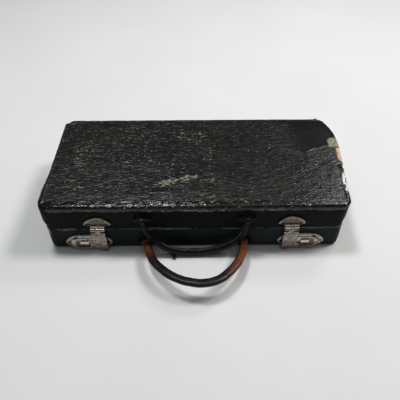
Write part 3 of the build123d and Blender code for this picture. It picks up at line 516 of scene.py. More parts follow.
def remeshed(obj, voxel, rounds):
    """One even skin over all the object's parts, relaxed a little."""
    remesh = obj.modifiers.new("remesh", "REMESH")
    remesh.mode = "VOXEL"
    remesh.voxel_size = voxel * MM
    relax = obj.modifiers.new("relax", "SMOOTH")
    relax.factor = 0.5
    relax.iterations = rounds
    applied(obj)


def subdivided(obj):
    obj.modifiers.new("finer", "SUBSURF").levels = 1
    applied(obj)
    smoothed(obj)


def vertices_of(obj):
    co = np.zeros(len(obj.data.vertices) * 3)
    obj.data.vertices.foreach_get("co", co)
    return co.reshape(-1, 3) / MM


def normals_of(obj):
    return np.array([v.normal for v in obj.data.vertices])


def put_vertices(obj, co):
    obj.data.vertices.foreach_set("co", (np.asarray(co) * MM).ravel())
    obj.data.update()


def finish_piece(obj, body, slot, *nodes):
    """Ties a piece to its body and hides the CAD nodes that it replaces; slot is not used."""
    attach(obj, body)
    if nodes:
        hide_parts(*nodes)
    return obj


def grid_faces(rows, columns, start=0, flip=False, wrap=False):
    """Faces of a grid of points; wrap joins the last column to the first."""
    faces = []
    for i in range(rows - 1):
        for j in range(columns if wrap else columns - 1):
            k = (j + 1) % columns
            a, b = start + i * columns + j, start + i * columns + k
            c, d = b + columns, a + columns
            faces.append((a, d, c, b) if flip else (a, b, c, d))
    return faces


def ring_faces(rows, columns):
    """Faces of a closed section carried round a closed loop."""
    last = (rows - 1) * columns
    ends = [(last + j, last + (j + 1) % columns, (j + 1) % columns, j) for j in range(columns)]
    return grid_faces(rows, columns, wrap=True) + ends


def tube_faces(rows, sides, start=0):
    """Faces of a tube of rings, closed at both ends."""
    last = start + rows * sides - 1
    ends = [[start + j for j in range(sides)], [last - j for j in range(sides)]]
    return grid_faces(rows, sides, start, wrap=True) + ends


def joined(x, y, z=0.0):
    """Points from their three columns; a column may be one number."""
    return np.stack(np.broadcast_arrays(x, y, z), 1)


def rim_loop(rows, columns):
    """Indices round the border of a grid, anticlockwise in its own plane."""
    loop = list(range(columns))
    loop += [i * columns + columns - 1 for i in range(1, rows)]
    loop += [(rows - 1) * columns + j for j in range(columns - 2, -1, -1)]
    loop += [i * columns for i in range(rows - 2, 0, -1)]
    return loop


def two_sided(outer, inner, rows, columns):
    """Closed sheet from two grids of points and a wall round their border."""
    count = rows * columns
    faces = grid_faces(rows, columns) + grid_faces(rows, columns, count, True)
    loop = rim_loop(rows, columns)
    for a, b in zip(loop, loop[1:] + loop[:1]):
        faces.append((b, a, a + count, b + count))
    return np.vstack([outer, inner]), faces


def wall_bulge(y, z):
    """How far the loose right side of the lid stands out, in millimetres."""
    along = [-92, -75, -48, -20, 0, 20, 40, 55, 68, 80, 92]
    out = [0.0, 1.4, 4.2, 7.2, 9.8, 11.6, 12.0, 11.0, 7.6, 2.6, 0.0]
    return np.interp(y, along, out) * ease(z, 40, 69)


def lid_top_sheet(material):
    """Leatherette sheet over the lid's top, turned down over its edges to a ragged end."""
    arc = EDGE_RADIUS * math.pi / 2
    flat = PLAN_RADIUS - EDGE_RADIUS
    reach = flat + arc + HEM_DROP - EDGE_RADIUS
    edge = np.concatenate([np.linspace(0, flat, 5), flat + np.linspace(0, arc, 8)[1:]])
    edge = np.concatenate([edge, np.linspace(flat + arc, reach, 6)[1:]])
    xs, ys = (np.concatenate([-(end + edge[:0:-1]), np.linspace(-end, end, count), end + edge[1:]])
              for end, count in ((FLAT_X, 241), (FLAT_Y, 121)))
    grid_x, grid_y = (g.ravel() for g in np.meshgrid(xs, ys))

    # The flat grid is bent down over the edges and round the corners
    ax = np.maximum(np.abs(grid_x) - FLAT_X, 0)
    ay = np.maximum(np.abs(grid_y) - FLAT_Y, 0)
    far = np.maximum(ax, ay)
    safe = np.where(far > 0, far, 1)
    angle = np.where(ax >= ay, ay / safe, 2 - ax / safe) * math.pi / 4
    angle = np.where((ax > 0) & (ay > 0), angle, np.where(ax > 0, 0, math.pi / 2))
    toward = np.stack([np.cos(angle) * np.sign(grid_x), np.sin(angle) * np.sign(grid_y)], 1)
    turn = np.clip((far - flat) / EDGE_RADIUS, 0, math.pi / 2)
    skirt = np.maximum(far - flat - arc, 0)
    plan = np.minimum(far, flat) + EDGE_RADIUS * np.sin(turn)
    x = np.sign(grid_x) * np.minimum(np.abs(grid_x), FLAT_X) + toward[:, 0] * plan
    y = np.sign(grid_y) * np.minimum(np.abs(grid_y), FLAT_Y) + toward[:, 1] * plan
    place = joined(x, y)
    ragged = 1.6 * field(place, 9.0, 3) + 1.0 * field(place, 3.1, 4) + 0.4 * field(place, 1.7, 5)
    down = EDGE_RADIUS * (1 - np.cos(turn)) + skirt * (1 + 0.22 * ragged - 0.12)
    normal = np.column_stack([toward * np.sin(turn)[:, None], np.cos(turn)])
    points = joined(x, y, TOP - down)

    # Long-grain ripples, dents and the patches where the sheet has lifted
    inset = np.minimum(HALF_LENGTH - np.abs(x), HALF_DEPTH - np.abs(y))
    bend = joined(x, y + 3.2 * field(place, (19, 24, 9), 15))
    ripple = 0.20 * field(bend, (10, 3.3, 5), 11) + 0.09 * field(bend, (5, 2.4, 5), 12)
    broad = 0.30 * field(place, (60, 40, 9), 13) * ease(inset, 12, 26)
    behind = damage_side(place)
    height = ripple * (1 - 0.8 * behind) * (1 - 0.5 * ease(x, 70, 165))
    height += broad + 0.12 * ease(inset, 5, 14) - 0.05 - 0.25 * behind
    height += 0.25 * spot(place, (168, 24), (26, 3.0), 0.55)
    square = np.maximum((y > 0) * np.abs(toward[:, 1]), np.abs(toward[:, 0]))
    height += 1.35 * square * ease(turn, 0.0, 0.7) * (1 - ease(turn, 0.95, 1.57))
    torn = torn_patch(place)
    # Mask of the small gap: dented here, and painted near black as shade in the material.
    dark = spot(place, (187.5, -15.5), (4.0, 6.5))
    height -= 0.32 * torn + 1.2 * dark
    lumps = spot(place, (188.5, -46), (3.4, 24))
    height += lumps * (0.5 * field(place, (3.0, 3.4, 3), 17) + 0.25 * field(place, 1.7, 16))
    corner = spot(place, (-190, -89), (15, 12))
    height -= 1.3 * corner
    height -= 1.5 * spot(place, (-190, 90), (10, 9)) + 0.8 * spot(place, (190, -90), (8, 8))
    points += normal * height[:, None]
    points[:, 2] += 0.7 * ease(y, 30, 84) + 1.4 * spot(place, (180, 89.5), (3.0, 3.0))
    points[:, 0] += corner_push(place, 40) * ease(turn, 0.2, 1.4)
    loose = ease(x, 128, 190.5) * ease(points[:, 2], 58, 74) ** 0.25
    points[:, 0] += wall_bulge(y, np.maximum(points[:, 2], 69)) * loose

    thickness = 0.65 + 0.75 * ease(inset, 11, 13)
    inner = points - normal * thickness[:, None]
    mesh_points, faces = two_sided(points, inner, len(ys), len(xs))
    values = {"torn": torn, "dark": dark, **top_wear(place, turn, down, behind, lumps, corner)}
    values = {key: np.concatenate([data, data]) for key, data in values.items()}
    sheet = piece("lid_top_leatherette", mesh_points, faces, material, **values)
    return finish_piece(sheet, "lid", "covering_leatherette", "lid_top_sheet")


def top_wear(place, turn, down, behind, lumps, corner):
    """How rubbed, smooth and glossy the top sheet is at each point, where it has pale marks, partly painted
    highlights, and where its front and right edges carry painted highlights.
    """
    x, y = place[:, 0], place[:, 1]

    # Rubbed patches: strength, middle, half size and turn
    patches = [(0.74, (-34, -46), (22, 8), 0.38), (0.68, (-8, -39), (20, 8), 0.25),
               (0.40, (22, -42), (30, 8), 0), (0.40, (6, 48), (24, 22), 0), (0.36, (-18, 52), (18, 18), 0),
               (0.37, (21, 8), (4.5, 32), 0), (0.37, (-152, 14), (30, 42), 0), (0.36, (-156, -54), (18, 24), 0),
               (0.36, (0, -76), (95, 14), 0), (0.52, (-183, 84), (13, 8), 0)]
    wear = 0.15 + 0.10 * field(place, (70, 50, 9), 21)
    for strength, middle, size, angle in patches:
        wear = np.maximum(wear, strength * spot(place, middle, size, angle))
    wear = np.maximum(wear, 1.2 * spot(place, (186, 34), (15, 15)) * ease(x, 172, 178))
    hem = 0.47 + 0.30 * field(place, (34, 30, 9), 22) + 0.12 * field(place, (7, 7, 9), 23)
    hem += 0.25 * spot(place, (0, -90), (60, 14))
    wear = np.maximum(wear, ease(down, 3.4, 6.4) * hem)
    wear = wear * (1 - 0.9 * behind * (1 - spot(place, (186, 34), (12, 16))))
    # Painted highlight zone: the front edge's rounding and the lumps of the right edge.
    edge = ease(-y, 77, 83) * (1 - ease(turn, 0.6, 1.2)) + lumps
    # Painted highlight along the crease's lit edge, and a nick.
    crease_highlight = 0.9 * line_mark(place, (150, 12.5), (162.5, 22.4), 0.55)
    nick = 0.4 * line_mark(place, (170, 30), (170.5, 43), 0.8)
    broken = field(place, (2.2, 3.0, 4), 18) + 0.5 * field(place, (6, 9, 4), 19)
    glints = 0.95 * lumps * ease(x, 184, 185.5) * ease(broken, 0.0, 0.2)
    patch = 0.14 * spot(place, (184, 34), (11, 14)) * ease(x, 174, 180)
    return {"wear": wear, "smooth": np.maximum(behind * (1 - wear), 0.75 * corner),
            "gloss": 0.85 * ease(x, 70, 165) * (1 - ease(y, -15, 20)) * ease(y, -90, -70),
            "edge": np.clip(edge, 0, 1), "pale": np.maximum.reduce([crease_highlight, nick, glints, patch])}


def line_mark(place, start, end, width):
    """1 along a thin straight mark on the plan, 0 away from it."""
    start, run = np.array(start), np.subtract(end, start)
    along = np.clip((place[:, :2] - start) @ run / (run @ run), 0, 1)
    gap = np.linalg.norm(place[:, :2] - start - along[:, None] * run, axis=1)
    return 1 - ease(gap, width * 0.5, width * 1.3)


def corner_push(place, low):
    """How far the softened front corners of the lid stand out sideways."""
    share = ease(place[:, 2], low, low + 12) if place[:, 2].any() else 1.0
    return (1.2 * spot(place, (191, -90), (30, 34)) - 2.6 * spot(place, (-191, -88), (30, 60))) * share


def damage_side(place):
    """1 behind the crease across the back right of the lid, 0 in front of it."""
    crease = np.interp(place[:, 0], [110, 149, 163, 171, 192], [34, 11, 22, 28.5, 28])
    return ease(place[:, 1] - crease, -1.2, 1.6) * ease(place[:, 0], 112, 158)


def torn_patch(place):
    """1 where the sheet is torn off the right edge and the board shows."""
    x, y = place[:, 0], place[:, 1]
    ragged = x + 0.9 * field(place, 3.2, 31) + 0.5 * field(place, 1.6, 32) + 0.06 * y
    along = ease(y + 2.0 * field(place, 4, 33), -9, -7.5) * (1 - ease(y, 20, 21.5))
    return ease(ragged, 185.6, 186.6) * along


def perimeter(inset):
    """Points and outward directions round a rounded rectangle, the same count at any inset."""
    radius = max(PLAN_RADIUS - inset, 0.6)
    flat = np.array([HALF_LENGTH - inset - radius, HALF_DEPTH - inset - radius])
    centres = [flat * sign for sign in ((1, -1), (1, 1), (-1, 1), (-1, -1))]
    places, outward = [], []
    for quarter in range(4):
        for i in range(CORNER_STEPS + 1):
            angle = (quarter - 1 + i / CORNER_STEPS) * math.pi / 2
            outward.append(np.array([math.cos(angle), math.sin(angle)]))
            places.append(centres[quarter] + radius * outward[-1])
        start, end = places[-1], centres[(quarter + 1) % 4] + radius * outward[-1]
        steps = int(2 * (FLAT_X if quarter % 2 else FLAT_Y) / STRAIGHT_STEP)
        for i in range(1, steps):
            places.append(start + (end - start) * i / steps)
            outward.append(outward[-1])
    return np.array(places), np.array(outward)


def wall_skin(name, profile, aged, material, body, node):
    """Closed skin swept round the case: the profile is (inset, z, outward share) in order round the
    section, and aged gives the wear of each point and its place when old."""
    rings, shares = [], []
    for inset, z, share in profile:
        plan, outward = perimeter(inset)
        rings.append(joined(*plan.T, z))
        shares.append(joined(*outward.T) * share)
    values, moved = aged(np.vstack(rings), np.vstack(shares))
    faces = ring_faces(len(profile), len(rings[0]))
    return closed_piece(name, moved, faces, material, body, "covering_leatherette", node, **values)


def rounding_profile(inset, radius, z_from, z_sign):
    """Quarter arc of a section from the wall's face in to the flat, as (inset, z) pairs."""
    angles = [i / ARC_STEPS * math.pi / 2 for i in range(ARC_STEPS + 1)]
    return [(inset + radius * (1 - math.cos(a)), z_from + z_sign * radius * math.sin(a)) for a in angles]


def wall_profile(rim, face, levels, turned_in):
    """Section of a side covering: the rim, the outer face, the rounded edge, the end that is turned
    in over the flat, and the back of the rounding."""
    z_from = levels[-1]
    z_sign = math.copysign(1, z_from - levels[0])
    profile = rim + [(face, z, 1.0) for z in levels]
    profile += [(inset, z, 0.5) for inset, z in rounding_profile(face, 4.1, z_from, z_sign)[1:]]
    profile += [(face + 10.1, z, 0.0) for z in turned_in]
    profile += [(inset, z, 0.0) for inset, z in rounding_profile(face + 0.8, 3.3, z_from, z_sign)[::-1]]
    return profile


def lid_wall_covering(material):
    """The lid's side covering, bulged at the right and soft at the front corners."""
    rim = [(1.5, SEAM + 0.3, 0.0), (1.2, SEAM + 0.02, 0.2), (0.84, SEAM + 0.10, 0.5), (0.72, SEAM + 0.4, 0.8)]
    profile = wall_profile(rim, 0.7, np.linspace(SEAM + 0.9, 71.2, 15), (75.3, 74.5))

    def aged(points, push):
        x, y, z = points.T
        wobble = 0.16 * field(points, (30, 30, 9), 41) + 0.09 * field(points, (7, 7, 4), 42)
        edge = 1 - ease(z, SEAM + 0.2, SEAM + 2.2)
        wobble += edge * 0.16 * field(points, 3.0, 43) - 0.1
        moved = points + push * wobble[:, None]
        moved[:, 0] += wall_bulge(y, z) * ease(x, 170, 188.5) + corner_push(points, 38) * push.any(1)
        rub = 0.55 * edge + 0.22 + 0.2 * field(points, (40, 40, 14), 44)
        left, right = spot(points, (-190, -90), (14, 11)), spot(points, (190, -90), (9, 9))
        rub = np.maximum(rub, 0.7 * left * (0.6 + 0.6 * field(points, 5, 45)))
        rub = np.maximum(rub, 0.75 * right * (0.7 + 0.5 * field(points, 5, 46)))
        return {"wear": rub, "torn": 0 * rub}, moved

    return wall_skin("lid_wall_leatherette", profile, aged, material, "lid", "lid_side_covering")


def base_wall_covering(material):
    """The base's side covering, rubbed along its rims and chipped at the front left corner; the pale line on its
    top rim is partly a painted highlight.
    """
    rim = [(0.9, SEAM - 0.3, 0.0), (0.88, SEAM + 0.03, 0.0), (0.45, SEAM + 0.03, 0.3), (0.10, SEAM - 0.2, 0.9)]
    profile = wall_profile(rim, 0.0, np.linspace(SEAM - 0.8, 4.9, 13), (0.8, 1.6))

    def aged(points, push):
        x, z = points[:, 0], points[:, 2]
        wobble = 0.15 * field(points, (30, 30, 9), 51) + 0.08 * field(points, (7, 7, 4), 52)
        edge = ease(z, SEAM - 1.7, SEAM - 0.4)
        wobble += edge * 0.12 * field(points, 3.0, 53) - 0.1
        moved = points + push * wobble[:, None]
        # The pale line along the top rim is rubbed wear, and partly a painted highlight where the proud rim
        # catches the light.
        rub = (0.66 + 0.42 * field(points, (12, 12, 9), 58)) * edge
        rub += 0.18 + 0.2 * field(points, (40, 40, 14), 54)
        low = 1 - ease(z, 1.5, 5.0)
        rub = np.maximum(rub, low * (0.42 + 0.3 * field(points, (16, 16, 9), 55)))
        chip = spot(points, (-189, -86), (6, 10)) * ease(z, 24, 28) * (x < -180)
        chip = chip * ease(chip + 0.35 * field(points, 3.4, 56), 0.35, 0.5)
        right = spot(points, (190, -90), (8, 8)) * ease(z, 18, 32)
        rub = np.maximum(rub, 0.7 * right * (0.7 + 0.5 * field(points, 5, 57)))
        return {"wear": rub, "torn": chip}, moved

    return wall_skin("base_wall_leatherette", profile, aged, material, "base", "base_side_covering")


def panel_grid(half_x, half_y, step):
    """Grid over a flat panel: its x and y, how far in from the edge, and the rows and columns."""
    xs, ys = (np.linspace(-half, half, int(2 * half / step) + 1) for half in (half_x, half_y))
    x, y = (g.ravel() for g in np.meshgrid(xs, ys))
    return x, y, np.minimum(half_x - np.abs(x), half_y - np.abs(y)), len(ys), len(xs)


def bottom_sheet(material):
    """Thin paper panel glued over the turned-in covering on the underside."""
    low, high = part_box("base_bottom_sheet")
    x, y, inset, rows, columns = panel_grid(high.x / MM, high.y / MM, 4.0)
    place = joined(x, y)
    x = x + 0.35 * field(place, 7, 61) * (inset < 1)
    y = y + 0.35 * field(place, 7, 62) * (inset < 1)
    lift = 0.10 + 0.10 * field(place, (16, 16, 9), 63) + 0.25 * (1 - ease(inset, 0, 3))
    back = joined(x, y, 0.8 + 0.75 * ease(inset, 5, 7))
    points, faces = two_sided(back, joined(x, y, np.maximum(lift, 0.0)), rows, columns)
    return closed_piece("base_bottom_paper", points, faces, material, "base", "bottom_paper", "base_bottom_sheet")


# Plush of the fitted interior
def soft_copy(node, material, seed):
    """A plush-covered former: the CAD solid with soft edges, uneven padding and pile."""
    obj = linked(node + "_plush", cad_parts[node].data.copy())
    remeshed(obj, 1.5, 4)
    co = vertices_of(obj)
    bumps = 0.22 * field(co, (9, 9, 7), seed) + 0.11 * field(co, 3.5, seed + 1) + 0.1
    low, high = co.min(0), co.max(0)
    margin = np.minimum(co[:, 2] - low[2], 2) / 2
    co = co + normals_of(obj) * (bumps * margin)[:, None]
    put_vertices(obj, np.clip(co, low - 0.15, high + 0.15))
    painted(obj, material)
    smoothed(obj)
    return finish_piece(obj, "base", "plush", node)


def wall_lining(name, node, body, material):
    """Plush glued inside the walls, with a softly rolled free edge at the seam."""
    low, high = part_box(node)
    half = np.array([high.x, high.y]) / MM
    free, fixed = (high.z / MM, low.z / MM) if body == "base" else (low.z / MM, high.z / MM)
    back = math.copysign(1, fixed - free)
    section = [(0.0, fixed), (0.0, free + 0.35 * back), (0.3, free), (0.75, free)]
    section += [(1.0, z) for z in np.linspace(free + 0.4 * back, fixed, 9)]
    corners = [half * sign for sign in ((-1, -1), (1, -1), (1, 1), (-1, 1))]
    points = []
    for inset, z in section:
        for i in range(4):
            start, end = (q - np.sign(q) * inset for q in (corners[i], corners[(i + 1) % 4]))
            steps = 40 if i % 2 else 90
            points += [(*(start + (end - start) * j / steps), z) for j in range(steps)]
    points = np.array(points)
    count = len(points) // len(section)
    wave = 0.18 * field(points, (14, 14, 9), 81) + 0.1 * field(points, 5, 82)
    size = np.abs(points)[:, :2]
    inward = -np.sign(points) * (size.max(0) - size < 1.5).dot([1, 1])[:, None]
    inward[:, 2] = 0
    inside = np.repeat([inset > 0.5 for inset, z in section], count)
    points = points + inward * (wave * inside)[:, None] * 0.5
    return closed_piece(name, points, ring_faces(len(section), count), material, body, "plush", node)


def floor_lining(material):
    """Plush laid on the base's floor, a little puckered between the formers."""
    low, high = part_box("base_floor_lining")
    x, y, _, rows, columns = panel_grid(high.x / MM, high.y / MM, 3.0)
    place = joined(x, y)
    top = high.z / MM + 0.12 + 0.22 * field(place, (18, 14, 9), 91) + 0.1 * field(place, 5, 92)
    points, faces = two_sided(joined(x, y, top), joined(x, y, low.z / MM), rows, columns)
    return closed_piece("base_floor_plush", points, faces, material, "base", "plush", "base_floor_lining")


def swelled(pad, held):
    """Runs a short cloth simulation with pressure; the held points stay where they are."""
    pad.vertex_groups.new(name="held").add(held, 1.0, "REPLACE")
    cloth = pad.modifiers.new("cloth", "CLOTH")
    settings = {"quality": 6, "mass": 0.15, "tension_stiffness": 12, "bending_stiffness": 0.6,
                "use_pressure": True, "uniform_pressure_force": 4.0, "vertex_group_mass": "held"}
    for key, value in settings.items():
        setattr(cloth.settings, key, value)
    cloth.settings.effector_weights.gravity = 0
    cloth.point_cache.frame_start = 1
    cloth.point_cache.frame_end = CLOTH_FRAMES
    for frame_number in range(1, CLOTH_FRAMES + 1):
        scene.frame_set(frame_number)
    applied(pad)
    scene.frame_set(1)


def lid_pad(material):
    """Padded plush panel glued under the lid's top, swelled by a cloth simulation."""
    low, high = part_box("lid_lining_pad")
    z_top, z_low = high.z / MM, low.z / MM + 1.3
    x, y, inset, rows, columns = panel_grid(high.x / MM - 0.3, high.y / MM - 0.3, 5.2)
    face = joined(x, y, z_low + 0.9 * (1 - ease(inset, 0, 6)))
    points, faces = two_sided(joined(x, y, z_top), face, rows, columns)
    pad = closed_piece("lid_padded_panel", points, faces, material)
    rest = vertices_of(pad)
    front = np.arange(len(rest)) >= len(x)
    from_edge = np.concatenate([inset, inset])
    swelled(pad, np.flatnonzero(~front | (from_edge < 2.0)).tolist())
    moved = rest + np.clip(vertices_of(pad) - rest, -2.2, 2.2) * (0.3, 0.3, 1)
    quilt = 0.35 * field(moved, (26, 22, 9), 95) + 0.15 * field(moved, (8, 8, 9), 96)
    moved[:, 2] += np.where(front, quilt * ease(from_edge, 1, 12), 0)
    moved[:, 2] = np.clip(moved[:, 2], z_low - 2.4, z_top)
    put_vertices(pad, moved)
    subdivided(pad)
    finish_piece(pad, "lid", "plush", "lid_lining_pad")
    return pad


# Leather handles
def circle(sides):
    """Cosine and sine of evenly spaced angles."""
    angles = [2 * math.pi * j / sides for j in range(sides)]
    return [(math.cos(angle), math.sin(angle)) for angle in angles]


def smooth_path(knots, steps):
    """Points of a Catmull-Rom curve through the knots, evenly spaced."""
    knots = np.asarray(knots, float)
    full = np.vstack([2 * knots[0] - knots[1], knots, 2 * knots[-1] - knots[-2]])
    dense = []
    for i in range(1, len(full) - 2):
        p0, p1, p2, p3 = full[i - 1:i + 3]
        for t in np.linspace(0, 1, 40, endpoint=False):
            a = 2 * p1 + (p2 - p0) * t + (2 * p0 - 5 * p1 + 4 * p2 - p3) * t ** 2
            dense.append((a + (3 * p1 - p0 - 3 * p2 + p3) * t ** 3) / 2)
    dense = np.array(dense + [knots[-1]])
    length = length_along(dense)
    marks = np.linspace(0, length[-1], steps)
    return np.stack([np.interp(marks, length, dense[:, k]) for k in range(dense.shape[1])], 1)


def length_along(path):
    return np.concatenate([[0], np.cumsum(np.linalg.norm(np.diff(path, axis=0), axis=1))])


def directions(path):
    """Unit vectors along a flat path and to its left, at each point."""
    tangent = np.gradient(path, axis=0)
    tangent /= np.linalg.norm(tangent, axis=1)[:, None]
    return tangent, np.stack([-tangent[:, 1], tangent[:, 0]], 1)


def in_handle_plane(flat, mount):
    """Points given across, away from the pivot and above the handle's own plane, put in the case's frame."""
    droop = math.radians(mount["droop"])
    c, s = math.cos(droop), math.sin(droop)
    across, away, lift = np.asarray(flat, float).T
    y, z = mount["pivot"]
    return joined(across, y - away * c - lift * s, z - away * s + lift * c)


def grip_mesh(path, widths, heights):
    """Rings of a rounded section along a flat path: width lies in the path's plane, height across it."""
    left = directions(path)[1]
    section = [[math.copysign(abs(q) ** (2 / 2.6), q) / 2 for q in pair] for pair in circle(20)]
    rings = [(*(path[i] + left[i] * u * widths[i]), v * heights[i]) for i in range(len(path)) for u, v in section]
    return np.array(rings), tube_faces(len(path), len(section))


def end_loop(x, length, radius, start):
    """Rolled leather end round the staple bar, as rings along the bar."""
    sizes = ((-1, 0.80), (-0.86, 0.97), (-0.5, 1.0), (0.5, 1.0), (0.86, 0.97), (1, 0.80))
    rings = [(x + share * length / 2, c * radius * size, s * radius * size)
             for share, size in sizes for c, s in circle(24)]
    return np.array(rings), tube_faces(len(sizes), 24, start)


def leather_handle(name, mount, knots, loop_width, middle, end, thinning, wider, material, node):
    """Sewn leather grip: padded middle, flattened ends rolled round the staple bars.

    middle and end are widths and heights, thinning is the share of the path over which the first
    goes to the second, and wider is how much wider the right end is than the left.
    """
    path = smooth_path(knots, 150)
    share = np.linspace(0, 1, len(path))
    near_end = 1 - ease(np.minimum(share, 1 - share), 0.02, thinning)
    widths = middle[0] + (end[0] + wider * (share - 0.5) - middle[0]) * near_end
    heights = middle[1] + (end[1] - middle[1]) * near_end
    grip, faces = grip_mesh(path, widths, heights)
    for x in (knots[0][0], knots[-1][0]):
        loop, loop_faces = end_loop(x, loop_width, 3.6, len(grip))
        grip = np.vstack([grip, loop])
        faces += loop_faces
    obj = closed_piece(name, grip, faces, material)
    remeshed(obj, 0.9, 3)
    flat = vertices_of(obj)
    every = 3
    from_path = flat[:, None, :2] - path[None, ::every, :]
    nearest = np.argmin((from_path ** 2).sum(2), 1)
    along = nearest * every / (len(path) - 1)
    offset = from_path[np.arange(len(flat)), nearest]
    centre = np.array([path[:, 0].mean(), 0.0])
    inward = np.einsum("ij,ij->i", offset, (centre - path[::every][nearest])) / 60
    creases = 0.10 * field(flat, 2.6, 101) + 0.16 * field(flat, (7, 7, 7), 102)
    put_vertices(obj, in_handle_plane(flat + normals_of(obj) * creases[:, None], mount))
    recalculate(obj)
    held = 1 - np.abs(along - 0.42) / 0.43
    store(obj, held=np.clip(held * 1.9, 0, 1), rim=ease(inward, 2.2, 3.6) * 0.85)
    painted(obj, material)
    smoothed(obj)
    finish_piece(obj, mount["body"], mount["slot"], node)
    return path, widths, heights


def stitches(name, mount, grip, part, pitch, thick, slant, material):
    """Whip stitches of thread laid over the inner edge of a handle, along a part of its length."""
    path, widths, heights = grip
    tangent, left = directions(path)
    length = length_along(path)
    points, faces = [], []
    radius = thick / 2
    rows, sides = 9, 6
    for number, mark in enumerate(np.arange(part[0] * length[-1], part[1] * length[-1], pitch)):
        centre, t, n = (np.array([np.interp(mark, length, column) for column in v.T])
                        for v in (path, tangent, left))
        offset = -0.465 * np.interp(mark, length, widths)
        lift = 0.27 * np.interp(mark, length, heights)
        start = len(points)
        for i in range(rows):
            angle = math.pi * (i / (rows - 1) - 0.5) * 1.25
            reach = offset * (0.80 + 0.20 * math.cos(angle)) - radius * 0.5 * math.cos(angle)
            shift = slant * math.sin(angle) + 0.12 * math.sin(number * 2.7)
            middle = centre + n * reach + t * shift
            thin = radius * (0.55 if i in (0, rows - 1) else 1.0)
            for c, s in circle(sides):
                point = middle + t * s * thin + n * c * thin * math.cos(angle)
                points.append((*point, (lift + c * thin) * math.sin(angle)))
        faces += tube_faces(rows, sides, start)
    points = in_handle_plane(points, mount)
    return closed_piece(name, points, faces, material, mount["body"], mount["slot"])


def torn_flap(material):
    """Loose scrap of leather hanging from the black handle's lower edge."""
    rows, columns = 9, 7
    front = []
    for i in range(rows):
        t = i / (rows - 1)
        width = 9.0 * (1 - t) ** 0.75 + 1.2 * t
        for j in range(columns):
            s = j / (columns - 1) - 0.5
            x = -29.0 + s * width + 3.2 * t + 0.5 * math.sin(5 * t)
            front.append((x, -105.0 - 7.6 * t, 6.9 - 4.0 * t + 0.5 * math.sin(3 * s + 4 * t)))
    points, faces = two_sided(np.array(front), np.array(front) - (0, 0, 0.9), rows, columns)
    flap = closed_piece("lid_handle_flap", points, faces, material)
    subdivided(flap)
    return finish_piece(flap, LID_HANDLE["body"], LID_HANDLE["slot"])


def handles():
    black = black_handle_leather()
    knots = [(-65, 0), (-61.5, 16), (-55, 28), (-45, 38.5), (-33, 46.5), (-19, 50.8), (-3, 51.8),
             (13, 50.5), (28, 47), (41, 41.5), (52, 34), (59.2, 25), (63.4, 14), (65, 0)]
    lid_grip = leather_handle("lid_handle_leather", LID_HANDLE, knots, 7.5, (9.6, 8.2), (5.8, 5.2), 0.42,
                              1.0, black, "lid_handle")
    knots = [(-62.5, 0), (-58, 17), (-51, 35), (-41, 48), (-29, 59), (-14, 67.3), (1, 71.3), (9, 71.9),
             (20, 70), (31, 64.5), (41, 55), (50, 43), (56.8, 29), (61.6, 14), (62.5, 0)]
    base_grip = leather_handle("base_handle_leather", BASE_HANDLE, knots, 12.0, (11.2, 7.6), (11.0, 5.2), 0.30,
                               1.4, brown_handle_leather(), "base_handle")
    thread = waxed_thread("black_thread", (0.20, 0.20, 0.20), (0.035, 0.035, 0.035))
    stitches("lid_handle_stitches", LID_HANDLE, lid_grip, (0.24, 0.96), 1.9, 0.85, 0.9, thread)
    thread = waxed_thread("brown_thread", (0.05, 0.028, 0.018), (0.014, 0.009, 0.007))
    stitches("base_handle_stitches", BASE_HANDLE, base_grip, (0.20, 0.80), 2.9, 0.9, 0.4, thread)
    torn_flap(black)


def slide_springs():
    """Flat zigzag springs behind the thumb buttons, copied from their CAD nodes."""
    steel = dark_steel("spring_steel", (0.42, 0.42, 0.43), (0.26, 0.26, 0.27), (0.12, 0.05, 0.022))
    for side, outward in (("left", -1), ("right", 1)):
        node = side + "_slide_spring"
        strip = linked(side + "_zigzag_spring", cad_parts[node].data.copy())
        painted(strip, steel)
        finish_piece(strip, "base", "spring_steel", node)
        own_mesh(strip)


# Materials of the CAD nodes that are kept as they are
def dress_nodes():
    """Chosen by the ends of the nodes' names; the first that fits is taken."""
    cap = nickel("cap_nickel", grime_depth=-0.0908)
    iron = dark_steel("dark_iron", (0.009, 0.009, 0.009), (0.005, 0.005, 0.005), (0.016, 0.009, 0.006))
    looks = [("_board", wood()), ("latch_cap", cap), ("lock_pan", nickel("pan_nickel", dish=-0.0942)),
             ("lock_slide", bright_nickel()), ("latch_cap_nails", cap), ("staples", iron), ("nails", iron),
             ("", nickel())]
    for name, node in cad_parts.items():
        if not node.hide_render:
            painted(node, next(material for ending, material in looks if name.endswith(ending)))


# Floor and light
def add_stage():
    mesh = bpy.data.meshes.new("floor")
    mesh.from_pydata([(-4, -4, 0), (4, -4, 0), (4, 4, 0), (-4, 4, 0)], [], [(0, 1, 2, 3)])
    mesh.materials.append(plain_floor())
    floor = linked("floor", mesh)


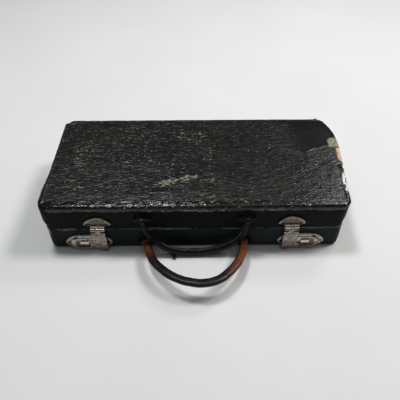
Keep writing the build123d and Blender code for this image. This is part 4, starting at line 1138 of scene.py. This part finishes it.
def add_lamp(name, place, size, power, tint):
    """Square lamp turned toward the middle of the case's underside."""
    lamp = bpy.data.lights.new(name, "AREA")
    lamp.size = size
    lamp.energy = power
    lamp.color = tint
    obj = linked(name, lamp)
    obj.location = place
    obj.rotation_euler = (-Vector(place)).to_track_quat("-Z", "Y").to_euler()


def add_light():
    """Three lamps, and a grey room with a bright ceiling and a paler band near the floor."""
    add_lamp("window_right", (1.00, 0.27, 1.60), 0.40, 16, (1.0, 0.985, 0.96))
    add_lamp("window_left", (-0.34, 0.29, 1.70), 0.30, 14, (0.97, 0.985, 1.0))
    add_lamp("window_back", (0.84, 0.86, 1.27), 0.35, 5, (1.0, 0.99, 0.97))
    world = bpy.data.worlds.new("room")
    scene.world = world
    world.use_nodes = True
    room = Nodes(world.node_tree)
    height = room.axis(room.add("TexCoord").outputs["Generated"], "Z")
    ceiling = room.span(height, 0.74, 1.0, curve="SMOOTHSTEP")
    sky = room.mix(ceiling, (0.11, 0.115, 0.12), (1.5, 1.51, 1.53))
    sky = room.blend(height, 0.32, 0.08, sky, (0.55, 0.56, 0.56))
    background = world.node_tree.nodes["Background"]
    room.put(background.inputs["Color"], sky)
    room.put(background.inputs["Strength"], 0.40)


add_camera()
add_stage()
add_light()
lid_top_sheet(top_leather())
# The lid and base get lit and shaded copies of one cloth: the factor paints the base lighter, for light thrown up
# from the floor, and the lid darker.
lid_wall_covering(side_leather("lid_side_leatherette", 0.75))
base_wall_covering(side_leather("base_side_leatherette", 2.5))
bottom_sheet(bottom_paper())
plush_material = plush("plush", (0.075, 0.010, 0.016), (0.20, 0.030, 0.045))
wall_lining("base_wall_plush", "base_wall_lining", "base", plush_material)
wall_lining("lid_wall_plush", "lid_wall_lining", "lid", plush_material)
floor_lining(plush_material)
formers = ["rear_divider", "front_divider", "bell_divider", "reed_divider", "barrel_divider",
           "mouthpiece_divider", "lower_joint_saddles", "upper_joint_saddles", "bell_saddle"]
for number, former in enumerate(formers):
    soft_copy(former, plush_material, 71 + 2 * number)
lid_pad(plush_material)
handles()
slide_springs()
dress_nodes()

bpy.context.view_layer.update()
